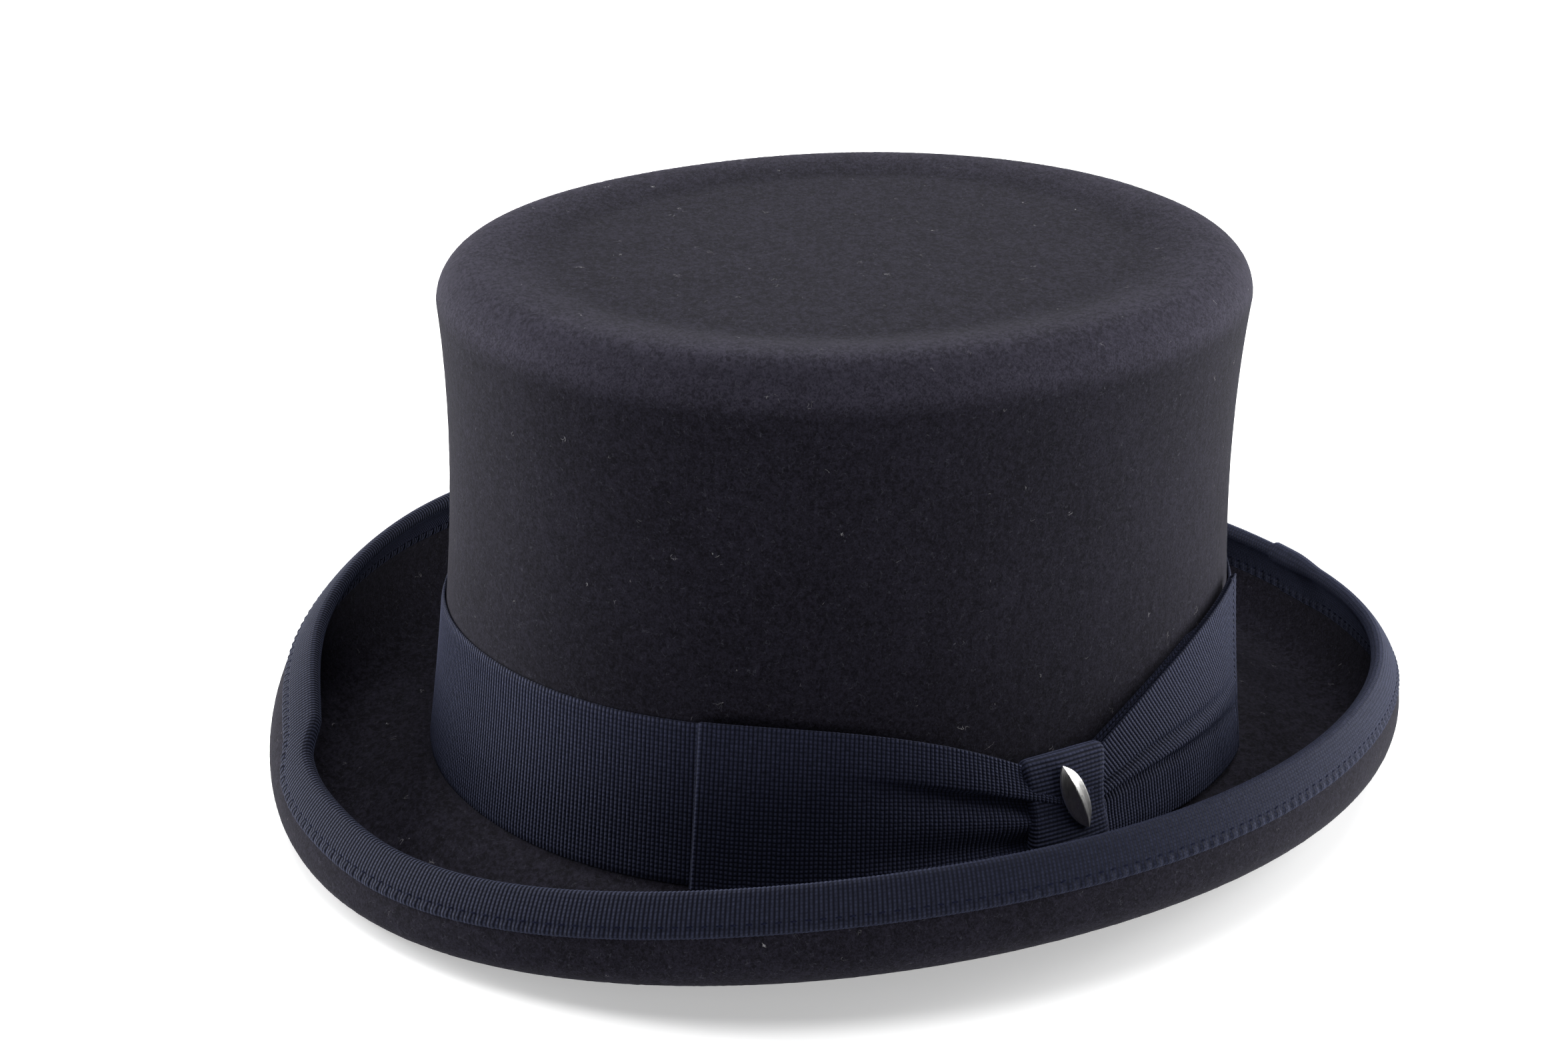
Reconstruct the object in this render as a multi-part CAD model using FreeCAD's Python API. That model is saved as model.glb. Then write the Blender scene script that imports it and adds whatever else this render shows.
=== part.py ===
import FreeCAD, Part
import math
import os

# Top hat of blocked fur felt: a low crown with a soft rim, and a brim curled up all round and bound with
# ribbon. Millimetres. +Z is up, the front is -Y, the back is +Y, and the wearer's left, with the bow, is +X.
# The origin is at the bottom centre of the whole hat. "turn" is an angle round the hat: 0 is the wearer's
# left, 90 degrees the back, 180 the wearer's right and 270 the front.

Vector = FreeCAD.Vector

# Felt body
FELT = 2.6                                   # thickness of the blocked felt
CROWN_BASE_Z = 10.0                          # height of the brim's upper face where it meets the crown
CROWN_CENTRE = (1.2, -2.7)                   # the crown stands slightly forward of the brim's middle
CROWN_HALF_WIDTH = 89.7                      # crown oval at its base, outer face
CROWN_HALF_LENGTH = 103.5
CROWN_SQUARENESS = 2.1                       # exponent of the oval: 2 would be an ellipse
CROWN_HEIGHT = 125.5                         # from the brim's upper face to the top
CROWN_RIM_RADIUS = 10.2                      # the soft roll between the side and the top
CROWN_WAIST = (0.0, -3.8, -5.2, -2.8)        # how far the side stands out at 0, 1/3, 2/3 and all its height
BREAK_RADIUS = 2.5                           # fillet between the crown and the brim

# Brim
LIP_CENTRE = (2.6, -0.1)                     # oval of the curled edge's highest line
LIP_HALF_WIDTH = 125.0
LIP_HALF_LENGTH = 142.0
LIP_SKEW = 3.4                               # hand shaping: the oval is longer on one diagonal
LIP_SKEW_TURN = 135.0
LIP_HEIGHT = 23.8                            # mean height of the curled edge above the crown's base
LIP_WAVES = (                                # height, waves per turn, turn of a crest
    (7.7, 2, 10.0),
    (2.7, 1, 156.0),
    (2.1, 3, 90.0),
    (1.1, 4, 45.0),
)
CURL_RADIUS = 21.3                           # outer face of the curl
CURL_RADIUS_SIDES = 2.8                      # the curl is wider at the sides than at the front and back
CURL_LEAN = 51.9                             # how far the curl goes on past the vertical, in degrees
CURL_LEAN_SIDES = -3.4
CURL_LEAN_LEFT = -8.5
TROUGH_REACH = 14.3                          # from the curl's outermost line in to the brim's lowest line
TROUGH_MEAN = -4.6                           # height of that lowest line, under face, above the crown's base
TROUGH_DIP = -5.6                            # it is lower at the front and back, and higher at the sides

# Ribbon
RIBBON = 0.7                                 # thickness of the grosgrain ribbon
BAND_WIDTH = 40.0
BAND_BOTTOM = 1.6
BAND_GAP = 0.3
BAND_TUCK = 1.5                              # the band is tucked this far below the bow's upper edge
BINDING = 0.6                                # thickness of the binding tape
BINDING_GAP = 0.05
BINDING_OUTER = 11.0                         # tape on the outer face, from the edge's highest line
BINDING_INNER = 12.5
LIP_ROLL = 2.0                               # half the thickness of felt and tape at the edge

# Bow, measured in length round the crown from the wearer's left, and in height above the crown's base
BOW_GAP = 0.25
WING_THICKNESS = 1.9
WING_RISE = 1.0                              # the pinched ends stand further off the band
WING_RISE_REACH = 17.6
WING_BOTTOM = 1.8
PINCH_BOTTOM = 4.8
PINCH_TOP = 21.0
WING_INNER_END = 1.0
FRONT_WING_LENGTH = 88.0
FRONT_WING_TOP = 41.9
FRONT_WING_SPREAD = 2.6                      # power of the widening from the pinch to the folded end
REAR_WING_LENGTH = 80.0
REAR_WING_TOP = 47.0
REAR_WING_SPREAD = 1.98
KNOT_HALF_WIDTH = 11.0
KNOT_HEIGHT = 26.0
KNOT_MIDDLE = 15.4
KNOT_DEPTH = 4.9
KNOT_SQUARENESS = 5.0
KNOT_GAP = 0.1

# Pin: a plain slim leaf of metal with two flat legs bent over behind the knot's front layer
PIN_TURN = 1.4
PIN_LENGTH = 18.5
PIN_WIDTH = 6.4
PIN_PLATE = 0.8
PIN_RIDGE = 1.1
PIN_RIDGE_LENGTH = 8.3
PIN_RIDGE_WIDTH = 1.0
PIN_GAP = 0.1
PIN_LEAN = 24.0
PIN_MIDDLE = 17.6
PRONG_WIDTH = 1.4
PRONG_THICKNESS = 0.4
PRONG_SPACING = 8.0
PRONG_BEND = 3.5
PRONG_CLEARANCE = 0.08
PRONG_BEHIND = 0.35                          # gap between the bent legs and the knot's inner face

# Sweatband and lining, inside the crown
LEATHER = 1.2
SWEATBAND_GAP = 0.7
SWEATBAND_TOP = 34.0
SWEATBAND_BOTTOM = -0.8
REED_RADIUS = 0.55
REED_HEIGHT = -0.6
REED_IN = 2.2
LINING = 0.35
LINING_GAP = 0.15
LINING_BOTTOM = 9.0
LINING_RIM_ANGLE = 45.0                      # how far up the rim's roll the side lining goes
TIP_INSET = 0.2                              # the tip lining's edge, in and down from the side lining's
TIP_DROP = 0.3
PIPING_RADIUS = 0.7
PIPING_INSET = 0.3
PIPING_GAP = 0.05

# Sewing
THREAD = 0.45
THREAD_GAP = 0.02
BINDING_STITCH = 2.3
BINDING_STITCH_PITCH = 3.2
BINDING_STITCH_IN = 2.6                      # distance of the row from the tape's edge
SWEATBAND_STITCH = 3.0
SWEATBAND_STITCH_PITCH = 5.0
SWEATBAND_STITCH_HEIGHT = 1.6

# Little bow at the back of the sweatband
BACK_BOW_HALF_WIDTH = 11.0
BACK_BOW_HEIGHT = 8.0
BACK_BOW_MIDDLE = 27.0
BACK_BOW_THICKNESS = 1.0
BACK_BOW_KNOT = 2.5                          # half width of its knot
BACK_BOW_WAIST = 3.6                         # height of the knot and of the loops where they leave it
BACK_BOW_START = 1.5
BACK_BOW_GAP = 0.1
BACK_BOW_KNOT_GAP = 0.05

AROUND = 72                                  # control points of each surface round the hat
TURNS = [2.0 * math.pi * step / AROUND for step in range(AROUND)]
DEGREE = 3


# Surfaces and solids

def knots(count, degree):
    """Knots and multiplicities of a spline that ends on its first and last control points."""
    spans = count - degree
    values = [float(step) for step in range(spans + 1)]
    multiplicities = [degree + 1] + [1] * (spans - 1) + [degree + 1]
    return values, multiplicities


def ring_surface(rings):
    """A smooth surface through closed rings of control points, one after the other."""
    around = len(rings[0])
    across = min(DEGREE, len(rings) - 1)
    poles = [[ring[step] for ring in rings] for step in range(around)]
    around_knots = [float(step) for step in range(around + 1)]
    across_knots, across_multiplicities = knots(len(rings), across)
    surface = Part.BSplineSurface()
    around_multiplicities = [1] * (around + 1)
    surface.buildFromPolesMultsKnots(
        poles,
        around_multiplicities,
        across_multiplicities,
        around_knots,
        across_knots,
        True,
        False,
        DEGREE,
        across,
    )
    return surface


def open_surface(rows):
    """A smooth surface over a rectangular grid of control points."""
    along = min(DEGREE, len(rows) - 1)
    across = min(DEGREE, len(rows[0]) - 1)
    along_knots, along_multiplicities = knots(len(rows), along)
    across_knots, across_multiplicities = knots(len(rows[0]), across)
    surface = Part.BSplineSurface()
    surface.buildFromPolesMultsKnots(
        rows,
        along_multiplicities,
        across_multiplicities,
        along_knots,
        across_knots,
        False,
        False,
        along,
        across,
    )
    return surface.toShape()


def flat_cap(rings):
    """The flat face that closes the first ring of a surface."""
    return Part.Face(Part.Wire(ring_surface(rings).vIso(0.0).toShape()))


def sew(faces):
    """One closed solid from faces that meet edge to edge."""
    skin = Part.makeCompound(faces)
    skin.sewShape()
    solid = Part.makeSolid(skin.Shells[0])
    if solid.Volume < 0:
        solid.reverse()
    return solid


def hoop(outer, inner):
    """A closed hoop of material between an outer and an inner set of rings."""
    strips = [outer, [outer[-1], inner[-1]], inner, [inner[0], outer[0]]]
    return sew([ring_surface(strip).toShape() for strip in strips])


def sheet(front, back):
    """A piece of sheet material between a front and a back grid of control points."""
    ends = [[front[0], back[0]], [front[-1], back[-1]]]
    edges = [
        [[row[0] for row in front], [row[0] for row in back]],
        [[row[-1] for row in front], [row[-1] for row in back]],
    ]
    return sew([open_surface(grid) for grid in [front, back] + ends + edges])


def shares(first, last, count):
    """Evenly spaced values from first to last."""
    return [first + (last - first) * step / (count - 1) for step in range(count)]


def export(node, shape):
    shape.exportStep("parts/" + node + ".step")
    print(node, "valid", shape.isValid(), "solids", len(shape.Solids), "volume", round(shape.Volume, 1))


# Shape of the crown

def signed_power(value, power):
    return math.copysign(abs(value) ** power, value)


def crown_oval(turn, lift):
    """A point of the crown's base oval and moved out from it by lift."""
    x = CROWN_HALF_WIDTH * signed_power(math.cos(turn), 2.0 / CROWN_SQUARENESS)
    y = CROWN_HALF_LENGTH * signed_power(math.sin(turn), 2.0 / CROWN_SQUARENESS)
    outward = Vector(x / CROWN_HALF_WIDTH ** 2, y / CROWN_HALF_LENGTH ** 2, 0.0)
    outward.normalize()
    return Vector(CROWN_CENTRE[0] + x, CROWN_CENTRE[1] + y, 0.0) + outward * lift


def side_offset(height):
    """How far the crown's side stands out from its base oval at a height: a cubic through CROWN_WAIST."""
    share = 3.0 * height / (CROWN_HEIGHT - CROWN_RIM_RADIUS)
    total = 0.0
    for mark, value in enumerate(CROWN_WAIST):
        for other in range(len(CROWN_WAIST)):
            if other != mark:
                value *= (share - other) / (mark - other)
        total += value
    return total


def crown_point(turn, height, lift):
    """A point at a height above the crown's base, lift outside the felt's outer face."""
    point = crown_oval(turn, side_offset(height) + lift)
    point.z = CROWN_BASE_Z + height
    return point


def crown_ring(height, lift):
    return [crown_point(turn, height, lift) for turn in TURNS]


def rim_ring(angle, depth):
    """A ring of the roll between side and top: 0 degrees at the side, 90 at the top."""
    radius = CROWN_RIM_RADIUS - depth
    straight = CROWN_HEIGHT - CROWN_RIM_RADIUS
    lift = side_offset(straight) - depth - radius * (1.0 - math.cos(math.radians(angle)))
    ring = [crown_oval(turn, lift) for turn in TURNS]
    for point in ring:
        point.z = CROWN_BASE_Z + straight + radius * math.sin(math.radians(angle))
    return ring


def shrunk_ring(ring, factor):
    """The same ring drawn in towards the crown's axis."""
    axis = Vector(CROWN_CENTRE[0], CROWN_CENTRE[1], ring[0].z)
    return [axis + (point - axis) * factor for point in ring]


def turn_after(distance):
    """The turn reached by going a distance round the crown's base from the wearer's left."""
    step = math.copysign(math.radians(0.25), distance)
    turn = 0.0
    walked = 0.0
    here = crown_oval(turn, 0.0)
    while walked < abs(distance):
        turn += step
        there = crown_oval(turn, 0.0)
        walked += (there - here).Length
        here = there
    return turn


def distance_at(turn):
    """The distance round the crown's base from the wearer's left to a turn, the short way, backwards
    positive."""
    turn = math.remainder(turn, 2.0 * math.pi)
    steps = 360
    line = [crown_oval(turn * step / steps, 0.0) for step in range(steps + 1)]
    walked = sum((end - start).Length for start, end in zip(line, line[1:]))
    return math.copysign(walked, turn)


# Shape of the brim

def lip_height(turn):
    waves = sum(size * math.cos(count * (turn - math.radians(crest))) for size, count, crest in LIP_WAVES)
    return LIP_HEIGHT + waves


def brim_frame(turn):
    """The foot of the lip's highest line, and the level direction out from it."""
    outward = Vector(math.cos(turn) / LIP_HALF_WIDTH, math.sin(turn) / LIP_HALF_LENGTH, 0.0)
    outward.normalize()
    skew = LIP_SKEW * math.cos(2.0 * (turn - math.radians(LIP_SKEW_TURN)))
    x = LIP_CENTRE[0] + (LIP_HALF_WIDTH + skew) * math.cos(turn)
    y = LIP_CENTRE[1] + (LIP_HALF_LENGTH + skew) * math.sin(turn)
    return Vector(x, y, 0.0), outward


def curl_lean(turn):
    lean = CURL_LEAN + CURL_LEAN_SIDES * math.cos(2.0 * turn) + CURL_LEAN_LEFT * math.cos(turn)
    return math.radians(lean)


def curl_radius(turn):
    return CURL_RADIUS + CURL_RADIUS_SIDES * math.cos(2.0 * turn)


def curl_point(turn, angle, depth):
    """A point of the curl. The angle is from its outermost line, positive up to the edge and negative down
    to the trough. The depth is from the felt's upper face, and grows towards its under face."""
    foot, outward = brim_frame(turn)
    lean = curl_lean(turn)
    full = curl_radius(turn)
    inset = BINDING + BINDING_GAP + FELT - depth
    radius = full - inset
    middle_z = lip_height(turn) - full * math.sin(lean)
    middle = foot - outward * (full * math.cos(lean)) + Vector(0.0, 0.0, CROWN_BASE_Z + middle_z)
    if angle >= 0.0:
        return middle + outward * (radius * math.cos(angle)) + Vector(0.0, 0.0, radius * math.sin(angle))
    trough = TROUGH_MEAN - TROUGH_DIP * math.cos(2.0 * turn)
    reach = TROUGH_REACH - inset
    drop = middle_z - trough - (FELT - depth)
    turned = min(-angle * radius / drop, math.pi / 2.0)
    out = radius - reach * (1.0 - math.cos(turned))
    return middle + outward * out - Vector(0.0, 0.0, drop * math.sin(turned))


def edge_angle(turn):
    """Where the felt's cut edge is on the curl."""
    return curl_lean(turn) - LIP_ROLL / curl_radius(turn)


def trough_angle(share, turn, depth):
    """The angle that carries curl_point a share of the way down to the trough."""
    inset = BINDING + BINDING_GAP + FELT - depth
    full = curl_radius(turn)
    drop = lip_height(turn) - full * math.sin(curl_lean(turn))
    drop -= TROUGH_MEAN - TROUGH_DIP * math.cos(2.0 * turn) + FELT - depth
    return -share * math.pi / 2.0 * drop / (full - inset)


def edge_roll(turn, angle, radius):
    """A point round the felt's cut edge: 0 degrees on the under face, 180 on the upper face."""
    under = curl_point(turn, edge_angle(turn), FELT)
    upper = curl_point(turn, edge_angle(turn), 0.0)
    across = (under - upper).normalize()
    foot, outward = brim_frame(turn)
    lean = edge_angle(turn)
    onward = outward * -math.sin(lean) + Vector(0.0, 0.0, math.cos(lean))
    middle = (under + upper) * 0.5
    return middle + across * (radius * math.cos(angle)) + onward * (radius * math.sin(angle))


# The felt

def felt_side(depth):
    """Rings of one face of the felt, from the crown's top down and out to the brim's edge."""
    top = rim_ring(90.0, depth)
    rings = [shrunk_ring(top, factor) for factor in (0.55, 0.75, 0.9)]
    rings += [rim_ring(angle, depth) for angle in (90.0, 75.0, 60.0, 45.0, 30.0, 15.0, 0.0)]
    straight = CROWN_HEIGHT - CROWN_RIM_RADIUS
    rings += [crown_ring(straight * share, -depth) for share in (0.92, 0.8, 0.65, 0.5, 0.35, 0.2, 0.08)]
    for angle in (0.0, 30.0, 60.0, 90.0):
        radius = BREAK_RADIUS + depth
        lift = BREAK_RADIUS - radius * math.cos(math.radians(angle))
        ring = [crown_oval(turn, lift) for turn in TURNS]
        for point in ring:
            point.z = CROWN_BASE_Z + BREAK_RADIUS - radius * math.sin(math.radians(angle))
        rings.append(ring)
    break_foot = rings[-1]
    trough = [curl_point(turn, trough_angle(1.0, turn, depth), depth) for turn in TURNS]
    for share in (0.25, 0.5, 0.75):
        ring = []
        for near, far in zip(break_foot, trough):
            point = near + (far - near) * share
            point.z = near.z + (far.z - near.z) * share ** 2 * (3.0 - 2.0 * share)
            ring.append(point)
        rings.append(ring)
    for share in (1.0, 0.8, 0.6, 0.4, 0.2):
        rings.append([curl_point(turn, trough_angle(share, turn, depth), depth) for turn in TURNS])
    for share in shares(0.0, 1.0, 7):
        rings.append([curl_point(turn, share * edge_angle(turn), depth) for turn in TURNS])
    return rings


def make_felt_body():
    upper = felt_side(0.0)
    under = felt_side(FELT)
    edge = [[edge_roll(turn, angle, FELT / 2.0) for turn in TURNS] for angle in shares(0.0, math.pi, 5)]
    edge[0] = under[-1]
    edge[-1] = upper[-1]
    faces = [ring_surface(rings).toShape() for rings in (upper, edge, under)]
    faces += [flat_cap(upper), flat_cap(under)]
    return sew(faces)


def binding_face(gap):
    """Rings of one face of the binding tape, gap off the felt: outer face, round the edge, inner face."""
    rings = []
    for share in shares(0.0, 1.0, 5):
        ring = []
        for turn in TURNS:
            start = curl_lean(turn) - BINDING_OUTER / curl_radius(turn)
            angle = start + (edge_angle(turn) - start) * share
            ring.append(curl_point(turn, angle, FELT + gap))
        rings.append(ring)
    for angle in shares(0.0, math.pi, 7)[1:-1]:
        rings.append([edge_roll(turn, angle, FELT / 2.0 + gap) for turn in TURNS])
    for share in shares(0.0, 1.0, 7):
        ring = []
        for turn in TURNS:
            inner_radius = curl_radius(turn) - FELT - 2.0 * BINDING
            end = edge_angle(turn) - BINDING_INNER / inner_radius
            angle = edge_angle(turn) + (end - edge_angle(turn)) * share
            ring.append(curl_point(turn, angle, -gap))
        rings.append(ring)
    return rings


def make_brim_binding():
    return hoop(binding_face(BINDING_GAP + BINDING), binding_face(BINDING_GAP))


def block(middle, along, out, length, width, height):
    """A small box of thread, leather or metal, centred on a point."""
    along = Vector(along).normalize()
    out = Vector(out).normalize()
    across = out.cross(along).normalize()
    out = along.cross(across)
    rotation = FreeCAD.Rotation(along, across, out, "XYZ")
    box = Part.makeBox(length, width, height, Vector(-length / 2.0, -width / 2.0, -height / 2.0))
    box.Placement = FreeCAD.Placement(middle, rotation)
    return box


def stitch_row(place, outward, length, pitch):
    """Stitches end to end along a closed line. place gives a point, and outward the direction off it."""
    fine = [place(2.0 * math.pi * step / 1440) for step in range(1441)]
    total = sum((end - start).Length for start, end in zip(fine, fine[1:]))
    count = int(total / pitch)
    stitches = []
    walked = 0.0
    for step in range(1440):
        if walked >= len(stitches) * total / count and len(stitches) < count:
            turn = 2.0 * math.pi * step / 1440
            direction = fine[step + 1] - fine[step]
            stitches.append(block(fine[step], direction, outward(turn), length, THREAD, THREAD))
        walked += (fine[step + 1] - fine[step]).Length
    return stitches


def make_binding_stitches():
    off = BINDING_GAP + BINDING + THREAD / 2.0 + THREAD_GAP

    def outer_angle(turn):
        return curl_lean(turn) - (BINDING_OUTER - BINDING_STITCH_IN) / curl_radius(turn)

    def inner_angle(turn):
        inner_radius = curl_radius(turn) - FELT - 2.0 * BINDING
        return edge_angle(turn) - (BINDING_INNER - BINDING_STITCH_IN) / inner_radius

    def outer_place(turn):
        return curl_point(turn, outer_angle(turn), FELT + off)

    def inner_place(turn):
        return curl_point(turn, inner_angle(turn), -off)

    def outer_direction(turn):
        return outer_place(turn) - curl_point(turn, outer_angle(turn), FELT)

    def inner_direction(turn):
        return inner_place(turn) - curl_point(turn, inner_angle(turn), 0.0)

    outer = stitch_row(outer_place, outer_direction, BINDING_STITCH, BINDING_STITCH_PITCH)
    inner = stitch_row(inner_place, inner_direction, BINDING_STITCH, BINDING_STITCH_PITCH)
    return Part.makeCompound(outer + inner)


# Ribbon trim on the crown

def front_wing_edges(distance):
    """Lower and upper height of the front wing at a distance round the crown from the knot's middle."""
    pinch = (1.0 - (distance - WING_INNER_END) / (FRONT_WING_LENGTH - WING_INNER_END)) ** FRONT_WING_SPREAD
    low = WING_BOTTOM + (PINCH_BOTTOM - WING_BOTTOM) * pinch
    high = FRONT_WING_TOP + (PINCH_TOP - FRONT_WING_TOP) * pinch
    return low, high


def rear_wing_edges(distance):
    """The same for the rear wing, which fans out as soon as it leaves the knot."""
    pinch = (1.0 - (distance - WING_INNER_END) / (REAR_WING_LENGTH - WING_INNER_END)) ** REAR_WING_SPREAD
    low = WING_BOTTOM + (PINCH_BOTTOM - WING_BOTTOM) * pinch ** 2
    high = REAR_WING_TOP + (PINCH_TOP - REAR_WING_TOP) * pinch
    return low, high


def band_top(distance):
    """Upper edge of the band at a distance round the crown from the knot's middle, backwards positive. The
    band's ends are gathered where they meet, so that the bow hides them."""
    edges = front_wing_edges if distance < 0.0 else rear_wing_edges
    length = FRONT_WING_LENGTH if distance < 0.0 else REAR_WING_LENGTH
    low, high = edges(min(max(abs(distance), WING_INNER_END), length))
    return min(BAND_BOTTOM + BAND_WIDTH, high - BAND_TUCK)


def make_hat_band():
    distances = [distance_at(turn) for turn in TURNS]
    tops = [band_top(distance) for distance in distances]
    faces = []
    for lift in (BAND_GAP + RIBBON, BAND_GAP):
        rings = []
        for share in shares(0.0, 1.0, 5):
            heights = [BAND_BOTTOM + (top - BAND_BOTTOM) * share for top in tops]
            rings.append([crown_point(turn, height, lift) for turn, height in zip(TURNS, heights)])
        faces.append(rings)
    return hoop(faces[0], faces[1])


def make_wing(length, side, edges):
    """One wing of the bow. side is -1 towards the front and 1 towards the back."""
    grids = []
    for layer in (WING_THICKNESS, 0.0):
        grid = []
        for distance in shares(WING_INNER_END, length, 13):
            low, high = edges(distance)
            turn = turn_after(side * distance)
            rise = WING_RISE * math.exp(-(distance / WING_RISE_REACH) ** 2)
            lift = BAND_GAP + RIBBON + BOW_GAP + rise + layer
            grid.append([crown_point(turn, height, lift) for height in shares(low, high, 6)])
        grids.append(grid)
    return sheet(grids[0], grids[1])


def knot_ring(distance, inset):
    """The knot's loop, seen along the ribbon, at a distance round the crown from its middle."""
    turn = turn_after(distance) if distance else 0.0
    half_height = KNOT_HEIGHT / 2.0 - inset
    half_depth = KNOT_DEPTH / 2.0 - inset
    middle_lift = BAND_GAP + RIBBON + KNOT_GAP + KNOT_DEPTH / 2.0
    ring = []
    for step in range(40):
        angle = 2.0 * math.pi * step / 40
        height = KNOT_MIDDLE + half_height * signed_power(math.cos(angle), 2.0 / KNOT_SQUARENESS)
        lift = middle_lift + half_depth * signed_power(math.sin(angle), 2.0 / KNOT_SQUARENESS)
        ring.append(crown_point(turn, height, lift))
    return ring


def make_bow_knot():
    distances = shares(-KNOT_HALF_WIDTH, KNOT_HALF_WIDTH, 5)
    outer = [knot_ring(distance, 0.0) for distance in distances]
    inner = [knot_ring(distance, RIBBON) for distance in distances]
    return hoop(outer, inner).cut(Part.makeCompound(prong_legs(PRONG_CLEARANCE)))


# Pin

def pin_frame():
    """Middle of the pin on the knot's face, and its directions: along the leaf, across it and outward."""
    turn = turn_after(PIN_TURN)
    lift = BAND_GAP + RIBBON + KNOT_GAP + KNOT_DEPTH + PIN_GAP
    middle = crown_point(turn, PIN_MIDDLE, lift)
    half = PIN_LENGTH / 2.0
    up = (crown_point(turn, PIN_MIDDLE + half, lift) - crown_point(turn, PIN_MIDDLE - half, lift)).normalize()
    back = crown_oval(turn_after(PIN_TURN + half), 0.0) - crown_oval(turn_after(PIN_TURN - half), 0.0)
    back.normalize()
    out = back.cross(up).normalize()
    lean = math.radians(PIN_LEAN)
    along = up * math.cos(lean) + back * math.sin(lean)
    across = out.cross(along)
    return middle, along, across, out


def make_pin_leaf():
    """A long lozenge with a bevelled face that rises to a short ridge."""
    middle, along, across, out = pin_frame()

    def lozenge(length, width, height):
        to_tip = along * (length / 2.0)
        to_side = across * (width / 2.0)
        corners = [middle + offset + out * height for offset in (to_tip, to_side, -to_tip, -to_side)]
        return Part.makePolygon(corners + corners[:1])

    foot = lozenge(PIN_LENGTH, PIN_WIDTH, 0.0)
    rim = lozenge(PIN_LENGTH, PIN_WIDTH, PIN_PLATE)
    ridge = lozenge(PIN_RIDGE_LENGTH, PIN_RIDGE_WIDTH, PIN_PLATE + PIN_RIDGE)
    plate = Part.makeLoft([foot, rim], True, True)
    bevel = Part.makeLoft([rim, ridge], True, True)
    return plate.fuse(bevel).removeSplitter()


def prong_legs(clearance):
    """The two flat legs, straight in through the knot and then bent over along the leaf. The clearance is
    added all round, for the slits that they go through."""
    middle, along, across, out = pin_frame()
    depth = PIN_GAP + RIBBON + PRONG_BEHIND + PRONG_THICKNESS / 2.0
    width = PRONG_WIDTH + 2.0 * clearance
    thickness = PRONG_THICKNESS + 2.0 * clearance
    legs = []
    for side in (-1.0, 1.0):
        foot = middle + along * (side * PRONG_SPACING / 2.0)
        straight = block(foot - out * (depth / 2.0), out, along, depth, width, thickness)
        bend_middle = foot - out * depth + along * (side * (PRONG_BEND - PRONG_THICKNESS) / 2.0)
        bent = block(bend_middle, along, out, PRONG_BEND, width, thickness)
        legs.append(straight.fuse(bent).removeSplitter())
    return legs


# Inside the crown

def make_sweatband():
    outer_lift = -FELT - SWEATBAND_GAP
    heights = shares(SWEATBAND_BOTTOM, SWEATBAND_TOP, 5)
    outer = [crown_ring(height, outer_lift) for height in heights]
    inner = [crown_ring(height, outer_lift - LEATHER) for height in heights]
    return hoop(outer, inner)


def cord_hoop(ring_at, radius):
    """A round cord laid along a ring, of four strips. ring_at gives the ring at a lift and a height."""
    per_strip = 6
    angles = shares(0.0, 2.0 * math.pi, 4 * per_strip + 1)
    rings = [ring_at(radius * math.cos(angle), radius * math.sin(angle)) for angle in angles]
    rings[-1] = rings[0]
    strips = [rings[start:start + per_strip + 1] for start in range(0, 4 * per_strip, per_strip)]
    return sew([ring_surface(strip).toShape() for strip in strips])


def make_sweatband_reed():
    return cord_hoop(lambda out, up: crown_ring(REED_HEIGHT + up, -REED_IN + out), REED_RADIUS)


def make_sweatband_stitches():
    lift = -FELT - SWEATBAND_GAP - LEATHER - THREAD / 2.0 - THREAD_GAP

    def place(turn):
        return crown_point(turn, SWEATBAND_STITCH_HEIGHT, lift)

    def inward(turn):
        return crown_point(turn, SWEATBAND_STITCH_HEIGHT, lift - 1.0) - place(turn)

    return Part.makeCompound(stitch_row(place, inward, SWEATBAND_STITCH, SWEATBAND_STITCH_PITCH))


def lining_side_face(depth):
    straight = CROWN_HEIGHT - CROWN_RIM_RADIUS
    rings = [crown_ring(height, -depth) for height in shares(LINING_BOTTOM, straight * 0.95, 7)]
    return rings + [rim_ring(angle, depth) for angle in shares(0.0, LINING_RIM_ANGLE, 4)]


def make_lining_side():
    outer = lining_side_face(FELT + LINING_GAP)
    inner = lining_side_face(FELT + LINING_GAP + LINING)
    return hoop(outer, inner)


def lining_rim(inset, drop):
    """The ring where the side lining meets the tip, moved in and down."""
    ring = rim_ring(LINING_RIM_ANGLE, FELT + LINING_GAP + LINING)
    lowered = []
    for point in ring:
        axis = Vector(CROWN_CENTRE[0], CROWN_CENTRE[1], point.z)
        inward = (axis - point).normalize()
        lowered.append(point + inward * inset - Vector(0.0, 0.0, drop))
    return lowered


def make_lining_tip():
    upper = lining_rim(TIP_INSET, TIP_DROP)
    lower = lining_rim(TIP_INSET, TIP_DROP + LINING)
    rings = [upper, lower]
    faces = [ring_surface(rings).toShape(), flat_cap(rings), flat_cap(rings[::-1])]
    return sew(faces)


def make_lining_piping():
    inset = PIPING_INSET + PIPING_RADIUS
    drop = TIP_DROP + LINING + PIPING_GAP + PIPING_RADIUS
    return cord_hoop(lambda out, up: lining_rim(inset + out, drop + up), PIPING_RADIUS)


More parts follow.
